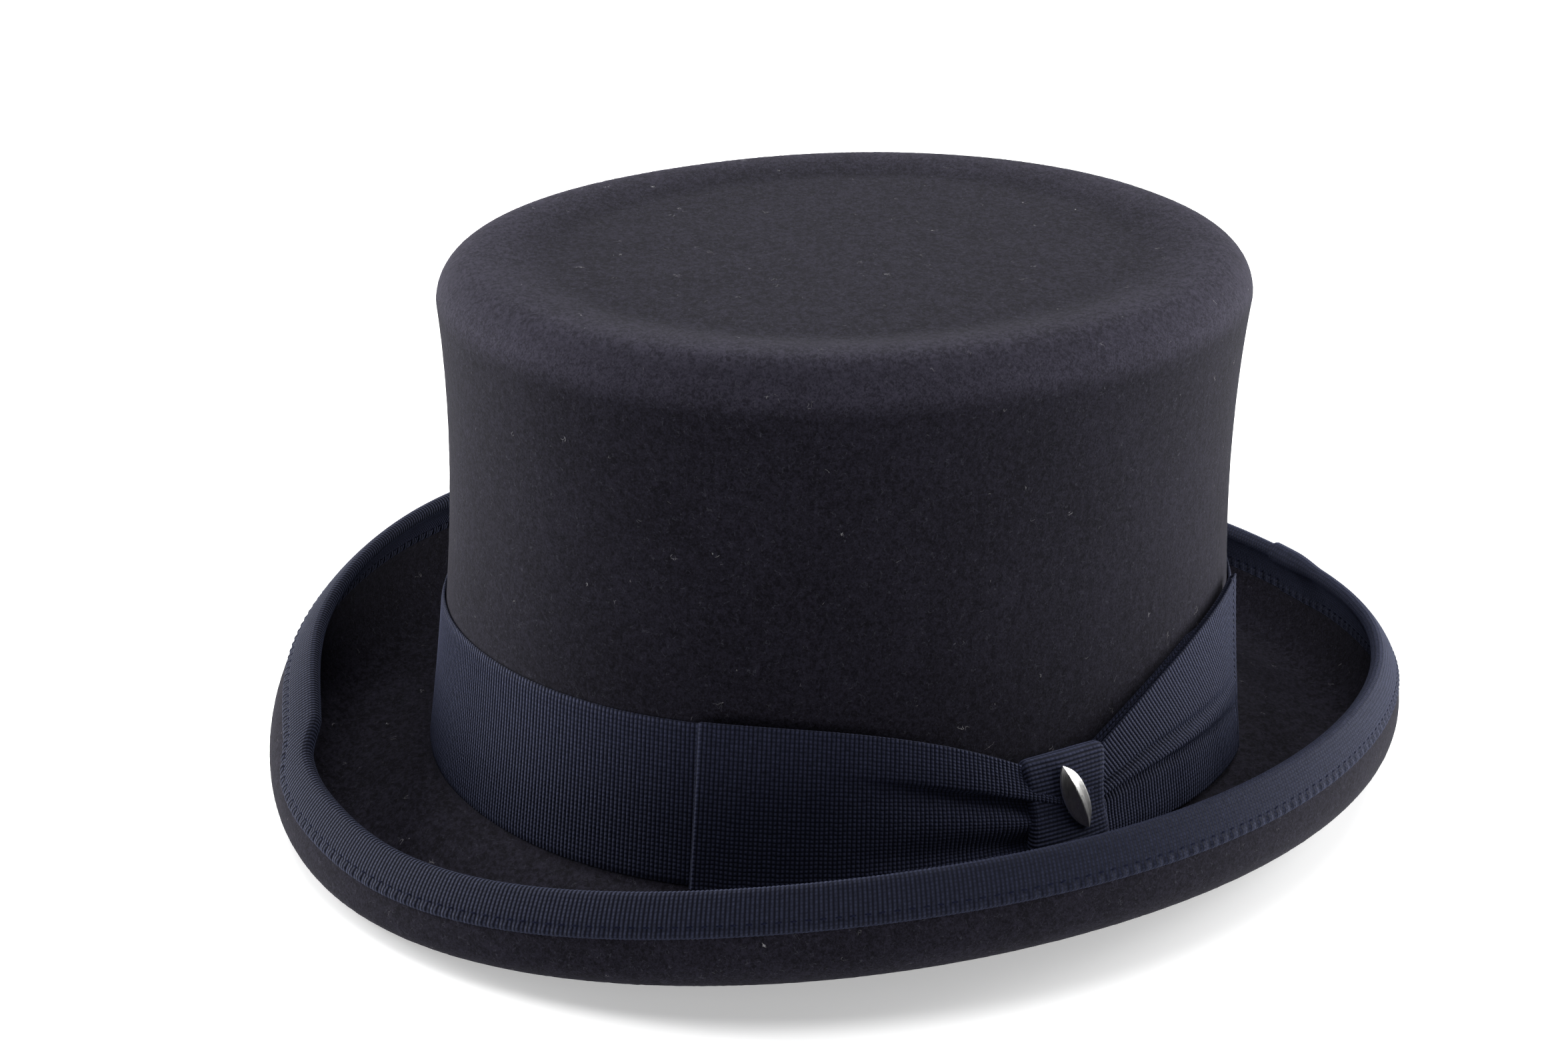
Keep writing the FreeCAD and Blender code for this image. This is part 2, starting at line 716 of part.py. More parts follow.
def make_sweatband_bow():
    """A tiny flat bow over the join at the back of the sweatband: two loops and a knot."""
    base = -FELT - SWEATBAND_GAP - LEATHER - BACK_BOW_GAP
    back = math.pi / 2.0
    per_length = 1.0 / (crown_oval(back + 0.5, 0.0) - crown_oval(back - 0.5, 0.0)).Length

    def piece(start, end, end_height, near, far):
        grids = []
        for lift in (near, far):
            grid = []
            for share in shares(0.0, 1.0, 5):
                turn = back + (start + (end - start) * share) * per_length
                half = (BACK_BOW_WAIST + (end_height - BACK_BOW_WAIST) * share) / 2.0
                heights = shares(BACK_BOW_MIDDLE - half, BACK_BOW_MIDDLE + half, 4)
                grid.append([crown_point(turn, height, base - lift) for height in heights])
            grids.append(grid)
        return sheet(grids[0], grids[1])

    right_loop = piece(BACK_BOW_START, BACK_BOW_HALF_WIDTH, BACK_BOW_HEIGHT, 0.0, BACK_BOW_THICKNESS)
    left_loop = piece(-BACK_BOW_START, -BACK_BOW_HALF_WIDTH, BACK_BOW_HEIGHT, 0.0, BACK_BOW_THICKNESS)
    knot_near = BACK_BOW_THICKNESS + BACK_BOW_KNOT_GAP
    knot = piece(-BACK_BOW_KNOT, BACK_BOW_KNOT, BACK_BOW_WAIST, knot_near, 2.0 * BACK_BOW_THICKNESS)
    return Part.makeCompound([right_loop, left_loop, knot])


os.makedirs("parts", exist_ok=True)
export("felt_body", make_felt_body())
export("brim_binding", make_brim_binding())
export("binding_stitches", make_binding_stitches())
export("hat_band", make_hat_band())
export("bow_front_wing", make_wing(FRONT_WING_LENGTH, -1.0, front_wing_edges))
export("bow_rear_wing", make_wing(REAR_WING_LENGTH, 1.0, rear_wing_edges))
export("bow_knot", make_bow_knot())
export("pin_leaf", make_pin_leaf())
export("pin_prongs", Part.makeCompound(prong_legs(0.0)))
export("sweatband", make_sweatband())
export("sweatband_reed", make_sweatband_reed())
export("sweatband_stitches", make_sweatband_stitches())
export("sweatband_bow", make_sweatband_bow())
export("lining_side", make_lining_side())
export("lining_tip", make_lining_tip())
export("lining_piping", make_lining_piping())
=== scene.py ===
import math

import bpy
import numpy as np
from mathutils import Matrix, Vector


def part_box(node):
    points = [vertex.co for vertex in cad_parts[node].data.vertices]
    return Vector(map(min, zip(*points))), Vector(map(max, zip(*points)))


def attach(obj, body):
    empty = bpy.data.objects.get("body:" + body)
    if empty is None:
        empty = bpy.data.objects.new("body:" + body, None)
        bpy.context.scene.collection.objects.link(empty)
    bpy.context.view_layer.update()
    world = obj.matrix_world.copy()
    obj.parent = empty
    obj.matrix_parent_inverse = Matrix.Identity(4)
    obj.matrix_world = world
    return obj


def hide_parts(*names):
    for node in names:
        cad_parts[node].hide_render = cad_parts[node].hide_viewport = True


# The looks of the felt top hat, around its CAD frame. Lengths are in millimetres until a mesh is made, and
# every mesh is in metres, in the frame's own axes: +Z up, -Y the front, +X the wearer's left. "turn" is an
# angle round the hat in radians: 0 is the wearer's left, pi/2 the back, pi the right and 3 pi/2 the front.

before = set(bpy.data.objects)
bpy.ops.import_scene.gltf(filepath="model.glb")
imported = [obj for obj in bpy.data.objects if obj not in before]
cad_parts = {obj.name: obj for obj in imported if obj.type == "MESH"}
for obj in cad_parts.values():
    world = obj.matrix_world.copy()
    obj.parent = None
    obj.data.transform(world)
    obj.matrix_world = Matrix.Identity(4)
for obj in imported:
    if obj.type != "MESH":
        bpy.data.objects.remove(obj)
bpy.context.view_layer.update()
MM = 0.001
TAU = 2.0 * math.pi
random = np.random.default_rng(12)


def corner(node, which):
    """The lowest (0) or highest (1) corner of a CAD node, in millimetres."""
    return np.array(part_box(node)[which]) / MM


# Sizes, as the CAD model has them

# Crown: its place comes from the frame, and its waist is how far the side stands out at four even heights.
FELT = 2.6
BAND_BOTTOM = 1.6
BAND_WIDTH = 40.0
BAND_LOW, BAND_HIGH = corner("hat_band", 0), corner("hat_band", 1)
CROWN_X, CROWN_Y = (BAND_LOW + BAND_HIGH)[:2] / 2.0
CROWN_BASE_Z = BAND_LOW[2] - BAND_BOTTOM
CROWN_HEIGHT = corner("felt_body", 1)[2] - CROWN_BASE_Z
CROWN_HALF_WIDTH = 89.7
CROWN_HALF_LENGTH = 103.5
CROWN_SQUARENESS = 2.1
CROWN_RIM_RADIUS = 10.2
CROWN_WAIST = (0.0, -3.8, -5.2, -2.8)
BREAK_RADIUS = 2.5
TIP_DISH = 1.6
TIP_DISH_START = 0.78
TIP_DISH_RUN = 0.2

# Brim: the line of the lip, whose height has waves of (size, count, crest), and the curl below it. The lump
# is where the lip was pressed over a little further. Angles here are in degrees.
LIP_CENTRE = (2.6, -0.1)
LIP_HALF_WIDTH = 125.0
LIP_HALF_LENGTH = 142.0
LIP_SKEW = 3.4
LIP_SKEW_TURN = 135.0
LIP_HEIGHT = 23.8
LIP_WAVES = ((7.7, 2, 10.0), (2.7, 1, 156.0), (2.1, 3, 90.0), (1.1, 4, 45.0))
LIP_ROLL = 2.0
CURL_RADIUS = 21.3
CURL_RADIUS_SIDES = 2.8
CURL_LEAN = 51.9
CURL_LEAN_SIDES = -3.4
CURL_LEAN_LEFT = -8.5
TROUGH_REACH = 14.3
TROUGH_MEAN = -4.6
TROUGH_DIP = -5.6
LUMP_START = 228.0
LUMP_RUN = 22.0
LUMP_END = 252.0
LUMP_DROP = 6.0
LUMP_LEAN = 12.0
LUMP_DIP = 3.0

# Band and binding, with the lap's turn in degrees
RIBBON = 0.7
BAND_GAP = 0.3
BINDING = 0.6
BINDING_GAP = 0.05
BINDING_OUTER = 11.0
BINDING_INNER = 12.5
BINDING_LAP = 0.8
BINDING_LAP_TURN = 90.5
MM_PER_DEGREE_AT_BACK = 2.35
SEAM_FROM_EDGE = 2.6
STITCH_PITCH = 3.2
STITCH_LENGTH = 1.6
STITCH_RADIUS = 0.24

# Bow. The pinch is where a wing's edges go in under the knot, and the ribs' lean is in radians.
BOW_RIBBON = 0.55
KNOT_HALF_WIDTH = 11.0
KNOT_HEIGHT = 26.0
KNOT_MIDDLE = 15.4
KNOT_DEPTH = 4.9
KNOT_CLEARANCE = 0.15
KNOT_SIDE_RADIUS = 1.7
KNOT_RIBBON_WIDTH = 26.0
FRONT_WING_LENGTH = 88.0
FRONT_WING_TOP = 41.9
FRONT_WING_SPREAD = 2.6
FRONT_FOLD_SLANT = 0.8
REAR_WING_LENGTH = 80.0
REAR_WING_TOP = 47.0
REAR_WING_SPREAD = 1.98
REAR_FOLD_SLANT = -1.8
REAR_RIB_LEAN = 0.58
WING_BOTTOM = 1.8
WING_FOLD_RADIUS = 0.75
WING_START = 1.5
BAND_TUCK = 1.5
PINCH_BOTTOM = 4.8
PINCH_TOP = 21.0

# Pin: its profile is (share of the half width, height), from one side of the plate over the ridge.
PIN_FROM_MIDDLE = 1.4
PIN_LENGTH = 18.5
PIN_WIDTH = 6.4
PIN_PLATE = 0.9
PIN_RIDGE = 1.3
PIN_LEAN = math.radians(24.0)
PIN_LIFT = BAND_GAP + RIBBON + KNOT_CLEARANCE + KNOT_DEPTH + 0.05
PIN_PROFILE = (
    (-1.0, 0.0), (-1.04, 0.25), (-1.0, 0.6), (-0.86, 0.95), (-0.45, 1.35), (-0.08, 1.85), (0.0, 1.9),
    (0.08, 1.85), (0.45, 1.35), (0.86, 0.95), (1.0, 0.6), (1.04, 0.25), (1.0, 0.0),
)

# Sweatband and lining
LEATHER = 1.2
SWEATBAND_GAP = 0.7
SWEATBAND_TOP = 34.0
SWEATBAND_BOTTOM = -0.8
SWEATBAND_SEAM = 1.6
SWEATBAND_STITCH_PITCH = 5.0
SWEATBAND_STITCH_LENGTH = 3.2
SWEATBAND_STITCH_RADIUS = 0.26
BACK_BOW_HEIGHT = 27.0
BACK_BOW_REACH = 10.2
BACK_BOW_RIBBON = 0.3
LINING = 0.35
LINING_GAP = 0.15
LINING_BOTTOM = 9.0
LINING_RIM_ANGLE = math.radians(45.0)
PIPING_RADIUS = 0.7

# Ribbon weave, the felt's unevenness and combed nap, and how finely the pieces are divided
RIB_PITCH = 1.06
RIB_RELIEF = 0.16
RIB_POINTS = 6
THREAD_PITCH = 1.05
FELT_HANDWORK = 0.35
FELT_NAP = 0.02
NAP_DIRECTION = math.radians(55.0)
FINE_STEPS = 7201
SECTIONS_ROUND = 900
LINING_SECTIONS = 720
CAP_SHARE = 0.02

# Colours, dark and pale
FELT_DARK = (0.0029, 0.0026, 0.0045, 1.0)
FELT_PALE = (0.0154, 0.0142, 0.0229, 1.0)
# Painted highlight: paler felt laid round the crown's top rim
FELT_RIM_HIGHLIGHT_DARK = (0.0130, 0.0120, 0.0182, 1.0)
FELT_RIM_HIGHLIGHT_PALE = (0.0350, 0.0324, 0.0484, 1.0)
FIBRE_COLOUR = (0.07, 0.07, 0.085, 1.0)
LINT_COLOUR = (0.42, 0.41, 0.43, 1.0)
# The ribbons go from dark to pale with their own random tone, and also with painted shade in the rib grooves
# and between the beads and a painted highlight on the crests
RIBBON_DARK = (0.0024, 0.0029, 0.0072, 1.0)
RIBBON_PALE = (0.0318, 0.0362, 0.0715, 1.0)
BINDING_PALE = (0.0225, 0.0260, 0.0505, 1.0)
SLATE_SATIN = ((0.050, 0.055, 0.085, 1.0), (0.11, 0.12, 0.17, 1.0))
NAVY_SATIN = ((0.014, 0.016, 0.030, 1.0), (0.035, 0.040, 0.065, 1.0))


# Shape of the crown and the brim. Each function takes arrays and gives points (..., 3) in millimetres.

def points(x, y, z):
    x, y, z = np.broadcast_arrays(x, y, z)
    return np.stack([x, y, z], axis=-1)


def signed_power(value, power):
    return np.sign(value) * np.abs(value) ** power


def crown_oval(turn, lift):
    x = CROWN_HALF_WIDTH * signed_power(np.cos(turn), 2.0 / CROWN_SQUARENESS)
    y = CROWN_HALF_LENGTH * signed_power(np.sin(turn), 2.0 / CROWN_SQUARENESS)
    out_x, out_y = x / CROWN_HALF_WIDTH ** 2, y / CROWN_HALF_LENGTH ** 2
    size = np.hypot(out_x, out_y)
    return CROWN_X + x + lift * out_x / size, CROWN_Y + y + lift * out_y / size


def side_offset(height):
    share = 3.0 * height / (CROWN_HEIGHT - CROWN_RIM_RADIUS)
    total = 0.0
    for mark, value in enumerate(CROWN_WAIST):
        for other in range(len(CROWN_WAIST)):
            if other != mark:
                value = value * (share - other) / (mark - other)
        total = total + value
    return total


def crown_point(turn, height, lift):
    """At a height above the crown's base, lift outside the felt's outer face."""
    x, y = crown_oval(turn, side_offset(height) + lift)
    return points(x, y, CROWN_BASE_Z + height)


def rim_point(turn, angle, depth):
    """On the roll between side and top, depth inside the outer face. The angle is 0 at the side."""
    radius = CROWN_RIM_RADIUS - depth
    straight = CROWN_HEIGHT - CROWN_RIM_RADIUS
    x, y = crown_oval(turn, side_offset(straight) - depth - radius * (1.0 - np.cos(angle)))
    return points(x, y, CROWN_BASE_Z + straight + radius * np.sin(angle))


def lip_height(turn):
    waves = sum(size * np.cos(count * (turn - math.radians(crest))) for size, count, crest in LIP_WAVES)
    return LIP_HEIGHT + waves


def curl_lean(turn):
    return np.radians(CURL_LEAN + CURL_LEAN_SIDES * np.cos(2.0 * turn) + CURL_LEAN_LEFT * np.cos(turn))


def curl_radius(turn):
    return CURL_RADIUS + CURL_RADIUS_SIDES * np.cos(2.0 * turn)


def curl_drop(turn, depth):
    """From the curl's outermost line down to the trough."""
    trough = TROUGH_MEAN - TROUGH_DIP * np.cos(2.0 * turn)
    return lip_height(turn) - curl_radius(turn) * np.sin(curl_lean(turn)) - trough - (FELT - depth)


def brim_frame(turn):
    """The foot of the lip's highest line, and the level direction out from it."""
    out_x, out_y = np.cos(turn) / LIP_HALF_WIDTH, np.sin(turn) / LIP_HALF_LENGTH
    size = np.hypot(out_x, out_y)
    skew = LIP_SKEW * np.cos(2.0 * (turn - math.radians(LIP_SKEW_TURN)))
    x = LIP_CENTRE[0] + (LIP_HALF_WIDTH + skew) * np.cos(turn)
    y = LIP_CENTRE[1] + (LIP_HALF_LENGTH + skew) * np.sin(turn)
    return x, y, out_x / size, out_y / size


def curl_point(turn, angle, depth):
    """On the curl, depth below the felt's upper face. The angle is 0 at the curl's outermost line, positive
    up to the edge and negative down to the trough."""
    x, y, out_x, out_y = brim_frame(turn)
    full = curl_radius(turn)
    lean = curl_lean(turn)
    inset = BINDING + BINDING_GAP + FELT - depth
    radius = full - inset
    drop = curl_drop(turn, depth)
    turned = np.clip(-angle * radius / drop, 0.0, math.pi / 2.0)
    above = np.maximum(angle, 0.0)
    out = radius * np.cos(above) - (TROUGH_REACH - inset) * (1.0 - np.cos(turned)) - full * np.cos(lean)
    up = radius * np.sin(above) - drop * np.sin(turned) - full * np.sin(lean)
    return points(x + out * out_x, y + out * out_y, CROWN_BASE_Z + lip_height(turn) + up)


def lip_angle(turn):
    """Where the lip's highest line is on the curl. In one place it was pressed over a little further."""
    degrees = np.degrees(turn) % 360.0
    lump = smooth((degrees - LUMP_START) / LUMP_RUN) * (1.0 - smooth((degrees - LUMP_END) / LUMP_DROP))
    dip = np.exp(-((degrees - LUMP_END - 1.5 * LUMP_DROP) / LUMP_DROP) ** 2)
    return curl_lean(turn) + math.radians(LUMP_LEAN) * lump - math.radians(LUMP_DIP) * dip


def edge_angle(turn):
    return lip_angle(turn) - LIP_ROLL / curl_radius(turn)


def trough_angle(share, turn, depth):
    """The angle that carries curl_point a share of the way down to the trough."""
    radius = curl_radius(turn) - (BINDING + BINDING_GAP + FELT - depth)
    return -share * math.pi / 2.0 * curl_drop(turn, depth) / radius


def edge_roll(turn, angle, radius):
    """Round the felt's cut edge: angle 0 on the under face, pi on the upper face."""
    lean = edge_angle(turn)
    under = curl_point(turn, lean, FELT)
    upper = curl_point(turn, lean, 0.0)
    across = (under - upper) / FELT
    _, _, out_x, out_y = brim_frame(turn)
    onward = points(-np.sin(lean) * out_x, -np.sin(lean) * out_y, np.cos(lean))
    radius = np.reshape(radius, (-1, 1))
    return (under + upper) / 2.0 + radius * (across * np.cos(angle) + onward * np.sin(angle))


def lengths(line):
    """Distance walked along a line of points."""
    steps = np.linalg.norm(np.diff(line, axis=0), axis=1)
    return np.concatenate([[0.0], np.cumsum(steps)])


def even_turns(place, count):
    """Turns that divide the closed line place(turn) into count equal lengths, and its whole length."""
    fine = np.linspace(0.0, TAU, FINE_STEPS)
    walked = lengths(place(fine))
    return np.interp(np.arange(count) * walked[-1] / count, walked, fine), walked[-1]


def base_line():
    """Turns all round from the wearer's right, and each one's distance along the crown's base from turn 0."""
    fine = np.linspace(-math.pi, math.pi, FINE_STEPS)
    walked = lengths(points(*crown_oval(fine, 0.0), 0.0))
    return fine, walked - np.interp(0.0, fine, walked)


def turn_after(distance):
    """The turn reached by going a distance round the crown's base from the wearer's left."""
    fine, walked = base_line()
    return np.interp(distance, walked, fine)


def distance_at(turn):
    """The distance round the crown's base from the wearer's left to a turn, backwards positive."""
    fine, walked = base_line()
    return np.interp((turn + math.pi) % TAU - math.pi, fine, walked)


def smooth(value):
    """0 below 0, 1 above 1 and an even ease between."""
    value = np.clip(value, 0.0, 1.0)
    return value * value * (3.0 - 2.0 * value)


def ripple(turn, along, seed, waves):
    """A soft unevenness from -1 to 1 that closes round the hat."""
    draw = np.random.default_rng(seed)
    total = 0.0
    for _ in range(waves):
        count = draw.integers(2, 9)
        phase, slope, shift = draw.uniform(0.0, TAU), draw.uniform(-0.05, 0.05), draw.uniform(0.0, TAU)
        total = total + np.sin(count * turn + phase + along * slope) * np.cos(along * slope * 0.7 + shift)
    return total / waves


# Meshes

def add_object(name, data):
    made = bpy.data.objects.new(name, data)
    bpy.context.scene.collection.objects.link(made)
    return made


def new_piece(name, vertices, faces, uvs=None, smooth_shading=True):
    """A mesh object in metres that rides with the hat. uvs has one pair for each face corner."""
    mesh = bpy.data.meshes.new(name)
    mesh.from_pydata((np.asarray(vertices) * MM).tolist(), [], faces)
    if uvs is not None:
        layer = mesh.uv_layers.new(name="weave")
        layer.data.foreach_set("uv", np.asarray(uvs, dtype=np.float32).ravel())
    mesh.polygons.foreach_set("use_smooth", [smooth_shading] * len(mesh.polygons))
    mesh.update()
    piece = add_object(name, mesh)
    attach(piece, "root")
    return piece


def grid_faces(rows, columns, wrap_rows, wrap_columns):
    """Faces of a grid of vertices, and the row and column of each face corner before wrapping."""
    last_row = rows if wrap_rows else rows - 1
    last_column = columns if wrap_columns else columns - 1
    row, column = np.meshgrid(np.arange(last_row), np.arange(last_column), indexing="ij")
    row, column = row.ravel(), column.ravel()
    corner_rows = np.stack([row, row, row + 1, row + 1], axis=1)
    corner_columns = np.stack([column, column + 1, column + 1, column], axis=1)
    faces = (corner_rows % rows) * columns + corner_columns % columns
    return faces, corner_rows, corner_columns


def capped_faces(rings, around):
    """Faces of a closed skin over rings of points, with one flat face over the first ring and the last."""
    faces, _, _ = grid_faces(rings, around, False, True)
    faces = faces[:, ::-1].tolist()
    faces.append(list(range(around)))
    faces.append(list(range(rings * around - 1, (rings - 1) * around - 1, -1)))
    return faces


def capped(name, grid, smooth_shading=True):
    """A closed skin over rings of points: grid[ring, round, 3]."""
    return new_piece(name, grid.reshape(-1, 3), capped_faces(*grid.shape[:2]), smooth_shading=smooth_shading)


def tube(name, grid, along=None, across=None):
    """A closed ring of material: grid[section, round, 3], closed both ways. along and across are the
    weave's coordinates in millimetres, with one value more than the grid where they wrap."""
    faces, corner_rows, corner_columns = grid_faces(*grid.shape[:2], True, True)
    uvs = None
    if along is not None:
        uvs = np.stack([along[corner_columns], across[corner_rows]], axis=-1) * MM
    return new_piece(name, grid.reshape(-1, 3), faces.tolist(), uvs)


def slab(name, front, back, along, across):
    """A closed piece of ribbon between two grids [along, across, 3], whose rims are joined. along and across
    are the weave's coordinates at each point of the grids."""
    rows, columns = front.shape[:2]
    count = rows * columns
    front_faces, _, _ = grid_faces(rows, columns, False, False)
    back_faces = front_faces[:, ::-1] + count
    rim = np.concatenate([
        np.arange(columns),
        np.arange(1, rows) * columns + columns - 1,
        (rows - 1) * columns + np.arange(columns - 2, -1, -1),
        np.arange(rows - 2, 0, -1) * columns,
    ])
    ahead = np.roll(rim, -1)
    rim_faces = np.stack([ahead, rim, rim + count, ahead + count], axis=1)
    pairs = np.stack([along.ravel(), across.ravel()], axis=-1) * MM
    pairs = np.concatenate([pairs, pairs])
    faces = np.concatenate([front_faces, back_faces, rim_faces])
    vertices = np.concatenate([front.reshape(-1, 3), back.reshape(-1, 3)])
    return new_piece(name, vertices, faces.tolist(), pairs[faces])


def normals(grid, wrap):
    """Unit normals of a grid of points [row, column, 3]. wrap says whether the columns close."""
    down = np.gradient(grid, axis=0)
    if wrap:
        side = (np.roll(grid, -1, axis=1) - np.roll(grid, 1, axis=1)) / 2.0
    else:
        side = np.gradient(grid, axis=1)
    cross = np.cross(side, down)
    return cross / np.linalg.norm(cross, axis=-1, keepdims=True)


def rib(distance):
    """Height of the ribbon's cross ribs at a distance along it, from 0 in the grooves to 1."""
    return np.abs(np.sin(math.pi * distance / RIB_PITCH)) ** 0.8


# The felt

def felt_side(turns, depth):
    """Rows of one face of the felt, from the crown's middle down and out to the brim's edge."""
    rim_top = rim_point(turns, math.pi / 2.0, depth)
    middle = np.array([CROWN_X, CROWN_Y, CROWN_BASE_Z + CROWN_HEIGHT - depth])
    rows = []
    for share in np.linspace(CAP_SHARE, 0.985, 64):
        row = middle + (rim_top - middle) * share
        row[:, 2] -= TIP_DISH * (1.0 - smooth((share - TIP_DISH_START) / TIP_DISH_RUN))
        rows.append(row)
    rows += [rim_point(turns, angle, depth) for angle in np.linspace(math.pi / 2.0, 0.0, 18)]
    straight = CROWN_HEIGHT - CROWN_RIM_RADIUS
    rows += [crown_point(turns, height, -depth) for height in np.linspace(straight, BREAK_RADIUS, 80)[1:]]
    radius = BREAK_RADIUS + depth
    for angle in np.linspace(0.0, math.pi / 2.0, 9)[1:]:
        x, y = crown_oval(turns, BREAK_RADIUS - radius * math.cos(angle))
        rows.append(points(x, y, CROWN_BASE_Z + BREAK_RADIUS - radius * math.sin(angle)))
    inner = rows[-1]
    trough = curl_point(turns, trough_angle(1.0, turns, depth), depth)
    for share in np.linspace(0.0, 1.0, 18)[1:-1]:
        row = inner + (trough - inner) * share
        row[:, 2] = inner[:, 2] + (trough[:, 2] - inner[:, 2]) * smooth(share)
        rows.append(row)
    for share in np.linspace(1.0, 0.0, 15):
        rows.append(curl_point(turns, trough_angle(share, turns, depth), depth))
    for share in np.linspace(0.0, 1.0, 16)[1:]:
        rows.append(curl_point(turns, share * edge_angle(turns), depth))
    return np.array(rows)


def make_felt():
    """Crown and brim in one skin, with the slight unevenness of handwork and a fine random nap."""
    turns, _ = even_turns(lambda turn: curl_point(turn, 0.0, FELT), SECTIONS_ROUND)
    upper = felt_side(turns, 0.0)
    under = felt_side(turns, FELT)
    edge = np.array([edge_roll(turns, angle, FELT / 2.0) for angle in np.linspace(math.pi, 0.0, 7)[1:-1]])
    grid = np.concatenate([upper, edge, under[::-1]])
    middle = len(upper) + len(edge) // 2
    rows = np.arange(len(grid))[:, None]
    distance = np.abs(rows - middle)
    hand = FELT_HANDWORK * ripple(turns[None, :], distance * 1.1, 5, 6)
    spacing = np.linalg.norm(np.roll(grid, -1, axis=1) - grid, axis=-1)
    nap = random.normal(0.0, FELT_NAP, grid.shape[:2]) * np.clip(spacing / 0.6, 0.0, 1.0) ** 2
    side = np.where(rows < middle, 1.0, -1.0)
    ease = smooth(distance / 20.0) * smooth(spacing / 0.5)
    grid = grid + normals(grid, True) * ((hand * side * ease + nap)[..., None])
    return capped("felt_hood", grid)


# Ribbon trim

def rib_turns(place):
    """Turns for a closed ribbon, RIB_POINTS to a rib, and the weave's coordinate at each, plus the last."""
    _, total = even_turns(place, 8)
    ribs = round(total / RIB_PITCH)
    turns, _ = even_turns(place, ribs * RIB_POINTS)
    return turns, np.arange(ribs * RIB_POINTS + 1) * RIB_PITCH / RIB_POINTS


def strip(name, middle, along, across, thickness, relief=RIB_RELIEF):
    """A length of ribbon around a grid [along, across, 3] of its middle surface, ribbed on both faces."""
    out = normals(middle, False)
    along = np.broadcast_to(along if np.ndim(along) > 1 else along[:, None], middle.shape[:2])
    across = np.broadcast_to(across, middle.shape[:2])
    height = (thickness / 2.0 + relief * (rib(along) - 1.0))[..., None]
    return slab(name, middle + out * height, middle - out * height, along, across)


def wing_edges(distance, length, top, sharpness):
    """Lower and upper height of a wing at a distance from the knot's middle."""
    pinch = np.clip(1.0 - distance / length, 0.0, 1.0) ** sharpness
    return WING_BOTTOM + (PINCH_BOTTOM - WING_BOTTOM) * pinch ** 1.5, top + (PINCH_TOP - top) * pinch


def band_top(turn):
    """Upper edge of the band: its ends are gathered where they meet, and the bow hides them."""
    distance = distance_at(turn)
    _, front = wing_edges(-distance, FRONT_WING_LENGTH, FRONT_WING_TOP, FRONT_WING_SPREAD)
    _, rear = wing_edges(distance, REAR_WING_LENGTH, REAR_WING_TOP, REAR_WING_SPREAD)
    hidden = np.where(distance < 0.0, front, rear) - BAND_TUCK
    return np.minimum(BAND_BOTTOM + BAND_WIDTH, hidden)


def make_hat_band():
    turns, along = rib_turns(lambda turn: crown_point(turn, BAND_WIDTH / 2.0, BAND_GAP + RIBBON))
    ribs = rib(along[:-1])
    flare = 0.25 * ripple(turns, 0.0, 21, 4)
    width = band_top(turns) - BAND_BOTTOM
    rows, across = [], []
    for share in np.linspace(0.0, 1.0, 34):
        height = BAND_BOTTOM + width * share
        edge = smooth(min(share, 1.0 - share) * 22.0)
        soft = 0.16 * ripple(turns, BAND_WIDTH * share, 22, 5) + flare * share ** 2
        lift = BAND_GAP + RIBBON * (0.45 + 0.55 * edge) + RIB_RELIEF * (ribs - 1.0) * edge + soft
        swell = 0.12 * ribs * (1.0 - edge) * (1.0 if share > 0.5 else -1.0)
        rows.append(crown_point(turns, height + swell, lift))
        across.append(BAND_WIDTH * share)
    for share in np.linspace(1.0, 0.0, 5):
        lift = BAND_GAP + flare * share ** 2 - 0.05
        rows.append(crown_point(turns, BAND_BOTTOM + width * share, lift))
        across.append(BAND_WIDTH * share)
    across.append(across[0])
    return tube("crown_band", np.array(rows), along, np.array(across))


def crease(value, place, width):
    """A narrow groove at a place, 1 at its bottom."""
    return np.exp(-((value - place) / width) ** 2)


def front_pleats(distance, share):
    """How far the front wing's ribbon stands off its flat lie, at a distance from the knot's middle and a
    share of the way up: one fold above a tight groove, and a soft swell below."""
    near = smooth(1.0 - distance / 62.0)
    tight = np.exp(-(distance / 24.0) ** 2)
    upper = 0.63 + 0.07 * smooth(distance / 60.0)
    fold = 2.3 * near * smooth((share - upper) / 0.05) * (1.0 - 0.8 * smooth((share - upper) / 0.42))
    groove = -1.1 * tight * crease(share, upper - 0.02, 0.035)
    groove = groove - 0.8 * near * crease(share, upper - 0.05, 0.09)
    lower = 1.4 * near * crease(share, 0.42, 0.13) - 1.2 * near * crease(share, 0.20, 0.09)
    return fold + groove + lower + 0.5 * near * crease(share, 0.04, 0.08)


def rear_pleats(distance, share):
    """The same for the rear wing: a broad upper panel, then a narrow one, with a crease under each that falls
    towards the fold."""
    reach = smooth(distance / REAR_WING_LENGTH)
    near = np.clip(1.0 - distance / 76.0, 0.0, 1.0) ** 0.7
    held = 0.4 + 0.6 * near
    upper = 0.60 - 0.17 * reach
    lower = 0.43 - 0.15 * reach
    panel = 1.9 * near * smooth((share - upper) / 0.06) * (1.0 - 0.6 * smooth((share - upper) / 0.4))
    narrow = 1.2 * held * smooth((share - lower) / 0.06) * (1.0 - smooth((share - lower - 0.06) / 0.14))
    grooves = 0.8 * near * crease(share, upper - 0.02, 0.035)
    grooves = grooves + 1.0 * held * crease(share, lower - 0.02, 0.045)
    sewn = 0.45 * crease(distance, REAR_WING_LENGTH - 3.4, 0.5)
    return panel + narrow - grooves - sewn + 0.7 * held * crease(share, 0.08, 0.12)


